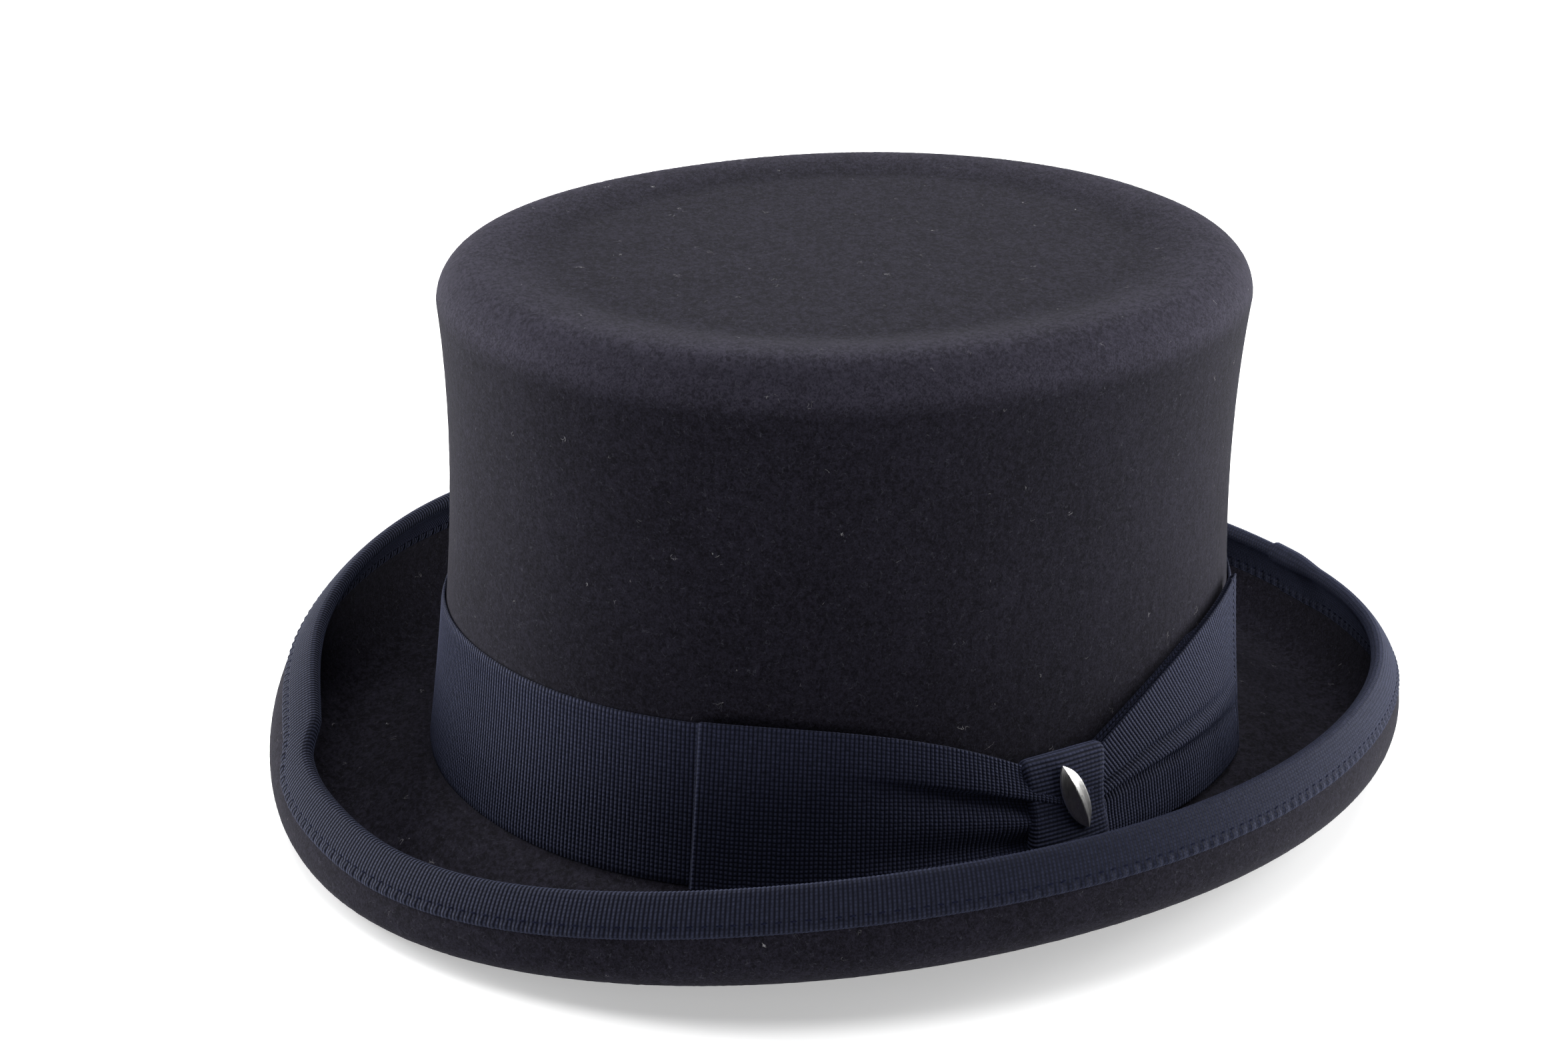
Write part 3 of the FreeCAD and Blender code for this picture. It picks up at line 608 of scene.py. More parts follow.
def make_wing(name, side, length, top, spread, slant, pleats, rib_lean, seed):
    """A folded loop of ribbon that lies round the crown: out from the knot, round its fold and back under.
    slant is how much further out the fold's lower end is, and rib_lean tilts the ribs of the upper part."""
    fold = WING_FOLD_RADIUS
    columns = 76
    count = int((length - fold - WING_START) / RIB_PITCH * RIB_POINTS)
    outward = np.linspace(WING_START, length - fold, count)
    bend = np.linspace(0.0, math.pi, 15)[1:-1]
    walked = np.concatenate([outward, length - fold + fold * np.sin(bend), outward[::-1]])[:, None]
    upper = np.concatenate([np.ones(count), (1.0 + np.cos(bend)) / 2.0, np.zeros(count)])[:, None]
    share = np.linspace(0.0, 1.0, columns)[None, :]
    far = walked + slant * (0.5 - share) * smooth(walked / length)
    low, high = wing_edges(far, length, top, spread)
    height = low + (high - low - 1.3 * (1.0 - upper)) * share
    turn = turn_after(side * far)
    over_knot = 1.0 * np.exp(-(far / KNOT_HALF_WIDTH / 1.7) ** 2)
    base = BAND_GAP + RIBBON + 0.45 + over_knot
    wave = 0.22 * ripple(turn * 3.0, height, seed, 5)
    front = base + 2.0 * fold + np.maximum(pleats(far, share), -0.95) + wave
    ease = smooth((length - far) / 5.0)
    lift = base + upper * (2.0 * fold + (front - base - 2.0 * fold) * ease)
    middle = crown_point(turn, height, lift)
    raised = smooth((share - 0.36) / 0.1) * (share - 0.38)
    along = lengths(middle[:, columns // 4])[:, None] + math.tan(rib_lean) * (high - low) * raised
    across = np.linspace(0.0, BAND_WIDTH, columns)
    if side > 0:
        middle, along, across = middle[:, ::-1], along[:, ::-1], across[::-1]
    return strip(name, middle, along, across, BOW_RIBBON)


def make_knot():
    """The short ribbon round the wings: its folded sides turn in, and its ends meet behind."""
    angle = np.linspace(0.0, TAU, 520) - math.pi / 2.0
    side = KNOT_SIDE_RADIUS
    flat = np.linspace(-1.0, 1.0, 30) * (KNOT_HALF_WIDTH - side)
    turned = np.linspace(0.0, math.radians(115.0), 9)[1:]
    distance = np.concatenate([-(KNOT_HALF_WIDTH - side) - side * np.sin(turned[::-1]), flat,
                               KNOT_HALF_WIDTH - side + side * np.sin(turned)])
    inset = np.concatenate([side * (1.0 - np.cos(turned[::-1])), 0.0 * flat, side * (1.0 - np.cos(turned))])
    inset = inset + 0.35 * (distance / KNOT_HALF_WIDTH) ** 2
    half_height = KNOT_HEIGHT / 2.0 - 0.3 - inset[None, :] * 0.75
    half_depth = KNOT_DEPTH / 2.0 - 0.3 - inset[None, :] * 0.6
    height = KNOT_MIDDLE + half_height * signed_power(np.cos(angle), 0.5)[:, None]
    lean = 0.06 * (height - KNOT_MIDDLE)
    waist = 1.0 - 0.06 * np.cos((height - KNOT_MIDDLE) / KNOT_HEIGHT * TAU)
    front = smooth(signed_power(np.sin(angle), 1.0) + 0.5)[:, None]
    crumple = 0.25 * front * np.sin(distance[None, :] * 0.45 + height * 0.3) * np.cos(height * 0.21)
    lift = BAND_GAP + RIBBON + KNOT_CLEARANCE + KNOT_DEPTH / 2.0
    lift = lift + half_depth * signed_power(np.sin(angle), 0.5)[:, None] + crumple * 0.5
    turn = turn_after(0.3 + distance[None, :] * waist - lean)
    middle = crown_point(turn, height, lift)
    across = np.linspace(0.0, KNOT_RIBBON_WIDTH, len(distance))
    return strip("bow_knot_ribbon", middle[:, ::-1], lengths(middle[:, 23]), across, BOW_RIBBON)


def binding_lap(turns):
    """Extra thickness where the binding's ends lap at the back."""
    past = (BINDING_LAP_TURN - np.degrees(turns)) * MM_PER_DEGREE_AT_BACK
    return BINDING_LAP * smooth(past / 0.8 + 0.5) * (1.0 - smooth((past - 9.0) / 14.0))


def binding_flap(from_edge, lap, gap, ribs, pucker):
    """At a distance from the ribbon's own edge: 0 to 1 for how far the rounding of that edge is left behind,
    and the height off the felt. The outer face also has ribs, and is pulled in along the seam."""
    edge = smooth(from_edge / 0.7)
    lift = lap + gap * (0.35 + 0.65 * edge)
    if gap > BINDING_GAP:
        sunk = 0.30 * crease(from_edge, SEAM_FROM_EDGE, 0.5) - pucker * crease(from_edge, 1.2, 1.1)
        lift = lift + (RIB_RELIEF * (ribs - 1.0) * edge - sunk)
    return edge, lift


def binding_section(turns, gap, ribs, along):
    """Rows of one face of the binding, from its outer edge round the brim's edge to its inner one."""
    rows, across = [], []
    outside = gap > BINDING_GAP
    lap = binding_lap(turns) if outside else 0.0
    full = curl_radius(turns)
    inner_radius = full - FELT - 2.0 * BINDING
    pucker = 0.16 * np.cos(TAU * along / STITCH_PITCH)
    start = lip_angle(turns) - BINDING_OUTER / full
    for share in np.linspace(0.0, 1.0, 20):
        edge, lift = binding_flap(BINDING_OUTER * share, lap, gap, ribs, pucker)
        angle = start + (edge_angle(turns) - start) * share - 0.12 * ribs * (1.0 - edge) / full
        rows.append(curl_point(turns, angle, FELT + lift))
        across.append(BINDING_OUTER * share)
    for angle in np.linspace(0.0, math.pi, 10)[1:-1]:
        lift = lap + gap + (RIB_RELIEF * (ribs - 1.0) if outside else 0.0)
        rows.append(edge_roll(turns, angle, FELT / 2.0 + lift))
        across.append(BINDING_OUTER + angle * 2.0)
    for share in np.linspace(0.0, 1.0, 20):
        _, lift = binding_flap(BINDING_INNER * (1.0 - share), lap, gap, ribs, pucker)
        angle = edge_angle(turns) - BINDING_INNER * share / inner_radius
        rows.append(curl_point(turns, angle, -lift))
        across.append(BINDING_OUTER + math.pi * 2.0 + BINDING_INNER * share)
    return rows, across


def make_binding():
    turns, along = rib_turns(lambda turn: curl_point(turn, 0.4, FELT))
    ribs = rib(along[:-1])
    outer, across = binding_section(turns, BINDING_GAP + BINDING, ribs, along[:-1])
    inner, inner_across = binding_section(turns, BINDING_GAP, ribs, along[:-1])
    across = across + inner_across[::-1] + across[:1]
    return tube("brim_binding_tape", np.array(outer + inner[::-1])[:, ::-1], along, np.array(across))


def stitches(name, places, pitch, length, radius):
    """Sewing thread: a row of plump, slightly arched stitches along each closed line. A place gives points on
    its line for turns, and raised off the cloth by its second argument."""
    template_along, template_round = 9, 7
    template = capped_faces(template_along, template_round)
    step = np.linspace(-1.0, 1.0, template_along)
    size = radius * np.sqrt(np.maximum(1.0 - step ** 4, 0.02))
    arch = 0.10 * (1.0 - step ** 2) - 0.22
    vertices, faces, start = [], [], 0
    for place in places:
        _, total = even_turns(place, 8)
        count = int(total / pitch)
        turns, _ = even_turns(place, count)
        here = place(turns)
        ahead = place(turns + 0.002)
        along = (ahead - here) / np.linalg.norm(ahead - here, axis=1, keepdims=True)
        out = place(turns, 1.0) - place(turns)
        out = out / np.linalg.norm(out, axis=1, keepdims=True)
        side = np.cross(along, out)
        wobble = random.normal(0.0, 0.06, (count, 2))
        block = []
        for index in range(template_along):
            for spoke in range(template_round):
                angle = TAU * spoke / template_round
                block.append(
                    here + along * (step[index] * length / 2.0 + wobble[:, :1])
                    + out * (arch[index] + size[index] * math.cos(angle) * 0.8)
                    + side * (size[index] * math.sin(angle) + wobble[:, 1:] * step[index])
                )
        vertices.append(np.stack(block, axis=1).reshape(-1, 3))
        for _ in range(count):
            faces += [[start + vertex for vertex in face] for face in template]
            start += len(block)
    return new_piece(name, np.concatenate(vertices), faces)


def make_binding_seam():
    """One row outside the lip, and one inside it that is drawn a little deeper into the ribbon."""
    off = BINDING_GAP + BINDING - 0.02

    def outer(turn, lift=0.0):
        angle = lip_angle(turn) - (BINDING_OUTER - SEAM_FROM_EDGE) / curl_radius(turn)
        return curl_point(turn, angle, FELT + off + lift)

    def inner(turn, lift=0.0):
        inner_radius = curl_radius(turn) - FELT - 2.0 * BINDING
        angle = edge_angle(turn) - (BINDING_INNER - SEAM_FROM_EDGE) / inner_radius
        return curl_point(turn, angle, 0.09 - off - lift)

    return stitches("binding_seam", [outer, inner], STITCH_PITCH, STITCH_LENGTH, STITCH_RADIUS)


# Pin

def make_pin():
    """A plain slim leaf of plate: bevelled, with a ridge down its middle."""
    low, high = corner("pin_leaf", 0), corner("pin_leaf", 1)
    height = (low[2] + high[2]) / 2.0 - CROWN_BASE_Z
    turn = turn_after(np.array([PIN_FROM_MIDDLE]))
    base, inner, outer = (crown_point(turn, height, lift)[0] for lift in (PIN_LIFT, 0.0, 10.0))
    above = crown_point(turn, height + 5.0, 0.0)[0]
    up = (above - inner) / np.linalg.norm(above - inner)
    out = (outer - inner) / np.linalg.norm(outer - inner)
    out = out - up * np.dot(out, up)
    out = out / np.linalg.norm(out)
    back = np.cross(up, out) * -1.0
    along = up * math.cos(PIN_LEAN) + back * math.sin(PIN_LEAN)
    across = np.cross(out, along)
    step = np.linspace(-1.0, 1.0, 61)
    half = np.maximum(PIN_WIDTH / 2.0 * (1.0 - np.abs(step) ** 2.4) ** 0.9, 0.12)
    rows = []
    for position, half_width, thin in zip(step, half, half / (PIN_WIDTH / 2.0)):
        ring = []
        for side, rise in PIN_PROFILE:
            tall = min(rise, PIN_PLATE) * (0.55 + 0.45 * thin) + max(rise - PIN_PLATE, 0.0) * PIN_RIDGE * thin
            point = base + along * (position * PIN_LENGTH / 2.0) + across * (side * half_width)
            ring.append(point + out * tall)
        rows.append(ring)
    pin = capped("pin_plate", np.array(rows), smooth_shading=False)
    bevel = pin.modifiers.new("rounded_edges", "BEVEL")
    bevel.width = 0.12 * MM
    bevel.segments = 2
    bevel.limit_method = "ANGLE"
    return pin


# Inside the crown

def make_sweatband():
    """Leather turned up inside the crown: a sewn lower edge, a crease above it and the join behind."""
    outer_lift = -FELT - SWEATBAND_GAP
    turns, _ = even_turns(lambda turn: crown_point(turn, 15.0, outer_lift - LEATHER), SECTIONS_ROUND)
    rows = []
    seam = np.exp(-((turns - math.pi / 2.0) * 95.0 / 0.5) ** 2)
    wave = 0.25 * ripple(turns, 0.0, 31, 5)
    for share in np.linspace(0.0, 1.0, 30):
        height = SWEATBAND_BOTTOM + (SWEATBAND_TOP - SWEATBAND_BOTTOM) * share
        round_edge = 0.35 * (1.0 - smooth(min(share, 1.0 - share) * 30.0))
        sewn = 0.35 * crease(height, SWEATBAND_SEAM, 0.8) + 0.25 * crease(height, 4.2, 0.5)
        lift = outer_lift - LEATHER + round_edge + sewn + 0.5 * seam + (wave + 0.1) * share ** 2 * 0.6
        rows.append(crown_point(turns, height, lift))
    for share in np.linspace(1.0, 0.0, 8):
        height = SWEATBAND_BOTTOM + (SWEATBAND_TOP - SWEATBAND_BOTTOM) * share
        rows.append(crown_point(turns, height, outer_lift + (wave - 0.25) * share ** 2 * 0.6))
    return tube("leather_sweatband", np.array(rows)[:, ::-1])


def make_sweatband_seam():
    lift = -FELT - SWEATBAND_GAP - LEATHER + 0.15

    def place(turn, inward=0.0):
        return crown_point(turn, SWEATBAND_SEAM, lift - inward)

    pitch, length, radius = SWEATBAND_STITCH_PITCH, SWEATBAND_STITCH_LENGTH, SWEATBAND_STITCH_RADIUS
    return stitches("sweatband_seam", [place], pitch, length, radius)


def lining_gathers(turn, amount):
    """Small upright puckers of the satin, deeper where it is sewn."""
    fine = 0.5 + 0.5 * np.sin(turn * 61.0 + 2.0 * np.sin(turn * 5.0))
    return amount * fine * (0.6 + 0.4 * np.sin(turn * 13.0))


def pulled_in(ring, amount):
    """A ring of points moved level towards the crown's axis."""
    flat = ring - np.array([CROWN_X, CROWN_Y, 0.0])
    flat[:, 2] = 0.0
    flat /= np.linalg.norm(flat, axis=1, keepdims=True)
    return ring - flat * np.reshape(amount, (-1, 1))


def make_lining_side():
    turns, _ = even_turns(lambda turn: crown_point(turn, 60.0, -FELT), SECTIONS_ROUND)
    heights = np.linspace(LINING_BOTTOM, (CROWN_HEIGHT - CROWN_RIM_RADIUS) * 0.99, 44)

    def face(depth):
        rows = []
        for height in heights:
            deep = 0.25 + 0.9 * smooth((height - 70.0) / 45.0)
            soft = 0.35 * (1.0 + ripple(turns, height, 41, 5))
            rows.append(crown_point(turns, height, -depth - lining_gathers(turns, deep) - soft))
        for index, angle in enumerate(np.linspace(0.0, LINING_RIM_ANGLE, 7)):
            amount = lining_gathers(turns, 1.15) * (1.0 - index / 6.0) + 0.35
            rows.append(pulled_in(rim_point(turns, angle, depth), amount))
        return rows

    outer = face(FELT + LINING_GAP)
    inner = face(FELT + LINING_GAP + LINING)
    return tube("satin_side_lining", np.array(inner + outer[::-1])[:, ::-1])


def lining_rim(turns, inset, drop):
    """A line inside the crown's rim, where the side lining ends."""
    row = pulled_in(rim_point(turns, LINING_RIM_ANGLE, FELT + LINING_GAP + LINING), inset)
    row[:, 2] -= drop
    return row


def make_lining_tip():
    """The satin oval under the crown's top: it sags a little and is puckered at its sewn edge."""
    turns, _ = even_turns(lambda turn: crown_point(turn, 100.0, -8.0), LINING_SECTIONS)
    edge = lining_rim(turns, 0.5, 0.35)
    middle = np.array([CROWN_X, CROWN_Y, edge[0, 2]])
    wrinkles = 0.5 * np.sin(turns * 45.0 + 1.5 * np.sin(turns * 7.0))
    upper = []
    for share in np.linspace(CAP_SHARE, 1.0, 60):
        row = middle + (edge - middle) * share
        pucker = wrinkles * smooth((share - 0.82) / 0.16) * (1.0 - share) * 6.0
        sag = 1.2 * (1.0 - share ** 2) * (1.0 + 0.3 * ripple(turns, share * 60.0, 51, 4))
        row[:, 2] -= sag + pucker * 0.4
        upper.append(row)
    lower = [row - np.array([0.0, 0.0, LINING]) for row in upper]
    return capped("satin_tip_lining", np.array(upper + lower[::-1]))


def make_piping():
    turns, _ = even_turns(lambda turn: crown_point(turn, 100.0, -8.0), LINING_SECTIONS)
    rows = []
    for step in range(12):
        angle = TAU * step / 12
        radius = PIPING_RADIUS * (1.0 + 0.06 * np.sin(turns * 160.0 + angle))
        rows.append(lining_rim(turns, 1.3 + radius * math.cos(angle), 1.4 - radius * math.sin(angle)))
    return tube("satin_piping", np.array(rows)[:, ::-1])


def make_back_bow():
    """A tiny flat bow of narrow ribbon, sewn over the sweatband's join."""
    base = -FELT - SWEATBAND_GAP - LEATHER - 0.35
    back = math.pi / 2.0
    end = BACK_BOW_REACH
    x, _ = crown_oval(np.array([back - 0.5, back + 0.5]), base)
    per_length = 1.0 / abs(x[0] - x[1])
    out = np.linspace(0.4, end, 90)
    bend = np.linspace(0.0, math.pi, 11)[1:-1]
    far = np.concatenate([out, end + 0.6 * np.sin(bend), out[::-1]])[:, None]
    layer = np.concatenate([np.ones(90), (1.0 + np.cos(bend)) / 2.0, np.zeros(90)])[:, None]
    share = np.linspace(-0.5, 0.5, 20)[None, :]
    wide = 3.6 + 4.4 * smooth(far / 8.0)
    puff = 0.55 + 0.75 * smooth(far / 3.0) * smooth((11.0 - far) / 3.0)
    puff = puff + 0.25 * np.cos(share * TAU) * smooth(1.0 - far / 9.0)
    pieces = []
    for name, side in (("sweatband_bow_left_loop", 1.0), ("sweatband_bow_right_loop", -1.0)):
        turn = back + side * far * per_length
        middle = crown_point(turn, BACK_BOW_HEIGHT + share * wide, base - layer * puff)
        along = lengths(middle[:, 10])
        middle = middle if side > 0 else middle[:, ::-1]
        pieces.append(strip(name, middle, along, np.linspace(0.0, 8.0, 20), BACK_BOW_RIBBON, 0.0))
    angle = np.linspace(0.0, TAU, 90) + math.pi / 2.0
    across = np.linspace(-1.9, 1.9, 14)[None, :]
    height = BACK_BOW_HEIGHT + (2.6 - 0.1 * across ** 2) * signed_power(np.cos(angle), 0.6)[:, None]
    lift = base - 0.75 + (1.05 - 0.06 * across ** 2) * signed_power(np.sin(angle), 0.6)[:, None]
    middle = crown_point(back + across * per_length, height, lift)
    along = lengths(middle[:, 7])
    pieces.append(strip("sweatband_bow_knot", middle, along, np.linspace(0.0, 4.0, 14), BACK_BOW_RIBBON, 0.0))
    return pieces


# Materials

class Nodes:
    """A material and short ways to add nodes to it. Scales are per metre and bump distances in metres. A
    value given with the name goes to the shader's socket of that name, with _ for each space."""

    def __init__(self, name, **values):
        self.material = bpy.data.materials.new(name)
        self.material.use_nodes = True
        self.tree = self.material.node_tree
        self.shader = self.tree.nodes["Principled BSDF"]
        for socket, value in values.items():
            self.shader.inputs[socket.replace("_", " ")].default_value = value

    def add(self, kind, inputs=(), **settings):
        node = self.tree.nodes.new(kind)
        for setting, value in settings.items():
            setattr(node, setting, value)
        for socket, value in dict(inputs).items():
            self.put(node.inputs[socket], value)
        return node

    def put(self, socket, value):
        if isinstance(value, bpy.types.NodeSocket):
            self.tree.links.new(value, socket)
        else:
            socket.default_value = value

    def math(self, operation, *values):
        return self.add("ShaderNodeMath", enumerate(values), operation=operation).outputs[0]

    def plus(self, first, second):
        return self.math("ADD", first, second)

    def minus(self, first, second):
        return self.math("SUBTRACT", first, second)

    def times(self, first, second):
        return self.math("MULTIPLY", first, second)

    def vector(self, operation, first, second):
        return self.add("ShaderNodeVectorMath", {0: first, 1: second}, operation=operation).outputs[0]

    def height_of(self, vector):
        return self.add("ShaderNodeSeparateXYZ", {0: vector}).outputs[2]

    def coordinate(self, kind):
        return self.add("ShaderNodeTexCoord").outputs[kind]

    def noise(self, place, scale, detail=2.0, roughness=0.5, distortion=0.0, output="Fac"):
        values = {"Vector": place, "Scale": scale, "Detail": detail, "Roughness": roughness}
        values["Distortion"] = distortion
        return self.add("ShaderNodeTexNoise", values).outputs[output]

    def stretched(self, place, scale):
        return self.add("ShaderNodeMapping", {"Vector": place, "Scale": scale}).outputs[0]

    def remap(self, value, low, high, start=0.0, end=1.0):
        values = {"Value": value, "From Min": low, "From Max": high, "To Min": start, "To Max": end}
        return self.add("ShaderNodeMapRange", values).outputs["Result"]

    def blend(self, factor, first, second):
        node = self.add("ShaderNodeMix", data_type="RGBA")
        for index, value in ((0, factor), (6, first), (7, second)):
            self.put(node.inputs[index], value)
        return node.outputs[2]

    def bump(self, height, distance, strength):
        values = {"Height": height, "Distance": distance, "Strength": strength}
        self.set("Normal", self.add("ShaderNodeBump", values).outputs["Normal"])

    def colours(self, factor, first, second):
        self.set("Base Color", self.blend(factor, first, second))

    def set(self, socket, output):
        self.tree.links.new(output, self.shader.inputs[socket])


def lint_lines(nodes, warped, place, cell, width, mask_scale, mask_start):
    """Thin wandering lines, kept only here and there."""
    edges = nodes.add("ShaderNodeTexVoronoi", {"Vector": warped, "Scale": cell}, feature="DISTANCE_TO_EDGE")
    lines = nodes.remap(edges.outputs["Distance"], 0.0, width, 1.0, 0.0)
    kept = nodes.remap(nodes.noise(place, mask_scale, 1.0), mask_start, mask_start + 0.03)
    return nodes.times(lines, kept)


def crown_rim_highlight_mask(nodes, place):
    """1 where the painted highlight lies round the crown's top edge, 0 elsewhere."""
    centred = nodes.vector("SUBTRACT", place, (CROWN_X * MM, CROWN_Y * MM, 0.0))
    shrunk = (1.0 / CROWN_HALF_WIDTH / MM, 1.0 / CROWN_HALF_LENGTH / MM, 0.0)
    oval = nodes.vector("MULTIPLY", centred, shrunk)
    radial = nodes.add("ShaderNodeVectorMath", {0: oval}, operation="LENGTH").outputs["Value"]
    top = (CROWN_BASE_Z + CROWN_HEIGHT) * MM
    high = nodes.remap(nodes.height_of(place), top - 0.012, top - 0.007)
    return nodes.times(nodes.remap(radial, 0.72, 0.90), high)


def felt_tone(nodes, place, clumps, grain):
    """Pale to dark mottling of the felt: fine and matted, but coarser and combed where it faces up."""
    patches = nodes.noise(place, 45.0, 2.0)
    mottle = nodes.noise(place, 850.0, 2.0, 0.6, 0.8)
    tone = nodes.plus(nodes.times(clumps, 0.08), nodes.times(mottle, 0.27))
    tone = nodes.plus(tone, nodes.times(grain, 0.65))
    swept = {"Vector": place, "Rotation": (0.0, 0.0, NAP_DIRECTION), "Scale": (1.0, 1.7, 1.0)}
    swept = nodes.add("ShaderNodeMapping", swept, vector_type="TEXTURE").outputs[0]
    tufts = nodes.noise(swept, 1050.0, 4.0, 0.8, 0.5)
    tone_above = nodes.plus(nodes.times(tufts, 0.8), nodes.times(clumps, 0.2))
    facing_up = nodes.remap(nodes.height_of(nodes.coordinate("Normal")), 0.6, 0.95)
    tone = nodes.plus(tone, nodes.times(nodes.minus(tone_above, tone), facing_up))
    tone = nodes.plus(tone, nodes.times(nodes.minus(patches, 0.5), 0.08))
    return nodes.remap(tone, 0.425, 0.595)


def felt_material():
    """Charcoal fur felt: faint mottling, a fine matted grain, stray pale fibres, a little lint, and a painted
    highlight round the crown's top rim.
    """
    nodes = Nodes(
        "charcoal_fur_felt", Roughness=0.95, Specular_IOR_Level=0.1,
        Sheen_Weight=0.025, Sheen_Roughness=0.5, Sheen_Tint=(0.80, 0.78, 1.0, 1.0),
    )
    place = nodes.coordinate("Object")
    clumps = nodes.noise(place, 300.0, 3.0, 0.6, 0.6)
    grain = nodes.noise(place, 1900.0, 4.0, 0.8, 0.6)
    warp = nodes.vector("SUBTRACT", nodes.noise(place, 300.0, output="Color"), (0.5, 0.5, 0.5))
    warp = nodes.add("ShaderNodeVectorMath", {0: warp, 3: 0.007}, operation="SCALE").outputs[0]
    warped = nodes.vector("ADD", place, warp)
    fibre = lint_lines(nodes, warped, place, 380.0, 0.035, 700.0, 0.58)
    lint = lint_lines(nodes, warped, place, 360.0, 0.016, 230.0, 0.72)
    tone = felt_tone(nodes, place, clumps, grain)
    colour = nodes.blend(tone, FELT_DARK, FELT_PALE)
    # Painted highlight: a paler felt tone over the crown's top rim, where the mask below is 1
    rim_highlight = nodes.blend(tone, FELT_RIM_HIGHLIGHT_DARK, FELT_RIM_HIGHLIGHT_PALE)
    colour = nodes.blend(crown_rim_highlight_mask(nodes, place), colour, rim_highlight)
    colour = nodes.blend(nodes.times(fibre, 0.33), colour, FIBRE_COLOUR)
    colour = nodes.blend(nodes.times(lint, 0.75), colour, LINT_COLOUR)
    nodes.set("Base Color", colour)
    nodes.bump(nodes.plus(nodes.times(clumps, 0.35), nodes.times(grain, 0.45)), 0.0003, 0.65)
    return nodes.material


def ridges(nodes, distance, pitch):
    """Round ridges from 0 to 1, one to a pitch in millimetres."""
    return nodes.math("ABSOLUTE", nodes.math("SINE", nodes.times(distance, math.pi / (pitch * MM))))


def grosgrain_material(name, dark, pale, gap, sharpness):
    """Ribbed ribbon: round ribs across it, wrapped by warp threads that stand up as rows of small beads. Its
    colour has a painted highlight on each rib's crest and painted shade in the grooves and between the beads.
    gap is the tone of the painted shade between the beads, and sharpness narrows the painted highlight on
    each crest."""
    nodes = Nodes(
        name, Roughness=0.8, Specular_IOR_Level=0.12,
        Sheen_Weight=0.10, Sheen_Roughness=0.4, Sheen_Tint=(0.50, 0.58, 1.0, 1.0),
    )
    uv = nodes.add("ShaderNodeUVMap", uv_map="weave").outputs[0]
    along, across, _ = nodes.add("ShaderNodeSeparateXYZ", {0: uv}).outputs
    wander = nodes.times(nodes.minus(nodes.noise(uv, 260.0, 2.0), 0.5), 0.0007)
    # Painted highlight on each rib's crest and painted shade in its groove
    crest = nodes.math("POWER", ridges(nodes, along, RIB_PITCH), sharpness)
    beads = ridges(nodes, nodes.plus(across, wander), THREAD_PITCH)
    uneven = nodes.noise(uv, 700.0, 3.0)
    fuzz = nodes.noise(nodes.coordinate("Object"), 3200.0, 2.0)
    # Painted shade between the beads and in the grooves, painted highlight on the crests; uneven and fuzz are
    # the ribbon's own random tone
    tone = nodes.times(crest, nodes.remap(beads, 0.1, 1.0, gap, 1.0))
    tone = nodes.times(tone, nodes.remap(uneven, 0.3, 0.7, 0.6, 1.2))
    tone = nodes.times(tone, nodes.remap(fuzz, 0.3, 0.7, 0.7, 1.2))
    selvedge = nodes.remap(across, 0.0002, 0.0004, 0.55, 0.0)
    nodes.colours(nodes.math("MAXIMUM", tone, selvedge), dark, pale)
    height = nodes.plus(nodes.times(beads, 1.35 * (1.0 - gap)), nodes.times(fuzz, 0.35))
    nodes.bump(nodes.times(height, crest), 0.00022, 1.0)
    return nodes.material


def thread_material():
    nodes = Nodes("navy_thread", Roughness=0.9, Specular_IOR_Level=0.05)
    twist = nodes.noise(nodes.coordinate("Object"), 3000.0, 2.0)
    nodes.colours(twist, (0.003, 0.0035, 0.009, 1.0), (0.010, 0.012, 0.028, 1.0))
    nodes.bump(twist, 0.0001, 0.6)
    return nodes.material


def metal_material():
    """Silver-coloured plate with fine polishing marks and a little tarnish."""
    nodes = Nodes("silver_plate", Metallic=1.0, Roughness=0.3)
    place = nodes.coordinate("Object")
    marks = nodes.noise(nodes.stretched(place, (1.0, 1.0, 0.12)), 4000.0)
    tarnish = nodes.noise(place, 320.0, 3.0)
    nodes.colours(nodes.remap(tarnish, 0.4, 0.7), (0.95, 0.95, 0.94, 1.0), (0.72, 0.71, 0.69, 1.0))
    nodes.set("Roughness", nodes.remap(nodes.plus(marks, tarnish), 0.6, 1.4, 0.24, 0.40))
    nodes.bump(marks, 0.00004, 0.5)
    return nodes.material


def leather_material():
    """Dark brown leather with fine pores, worn paler in places."""
    nodes = Nodes("sweatband_leather", Roughness=0.5)
    place = nodes.coordinate("Object")
    cells = nodes.add("ShaderNodeTexVoronoi", {"Vector": place, "Scale": 900.0}, feature="DISTANCE_TO_EDGE")
    wear = nodes.noise(place, 60.0, 4.0, 0.6)
    nodes.colours(nodes.remap(wear, 0.35, 0.7), (0.040, 0.022, 0.014, 1.0), (0.085, 0.050, 0.032, 1.0))
    nodes.set("Roughness", nodes.remap(wear, 0.3, 0.7, 0.42, 0.6))
    nodes.bump(nodes.remap(cells.outputs["Distance"], 0.0, 0.25), 0.00012, 0.5)
    return nodes.material


def satin_material(name, dark, pale):
    """Smooth cloth of fine upright threads."""
    nodes = Nodes(name, Roughness=0.32, Anisotropic=0.5, Sheen_Weight=0.2)
    place = nodes.coordinate("Object")
    threads = nodes.noise(nodes.stretched(place, (1.0, 1.0, 0.08)), 3500.0, 2.0)
    tone = nodes.plus(nodes.times(threads, 0.6), nodes.times(nodes.noise(place, 40.0, 2.0), 0.4))
    nodes.colours(nodes.remap(tone, 0.35, 0.65), dark, pale)
    nodes.bump(threads, 0.00005, 0.6)
    return nodes.material


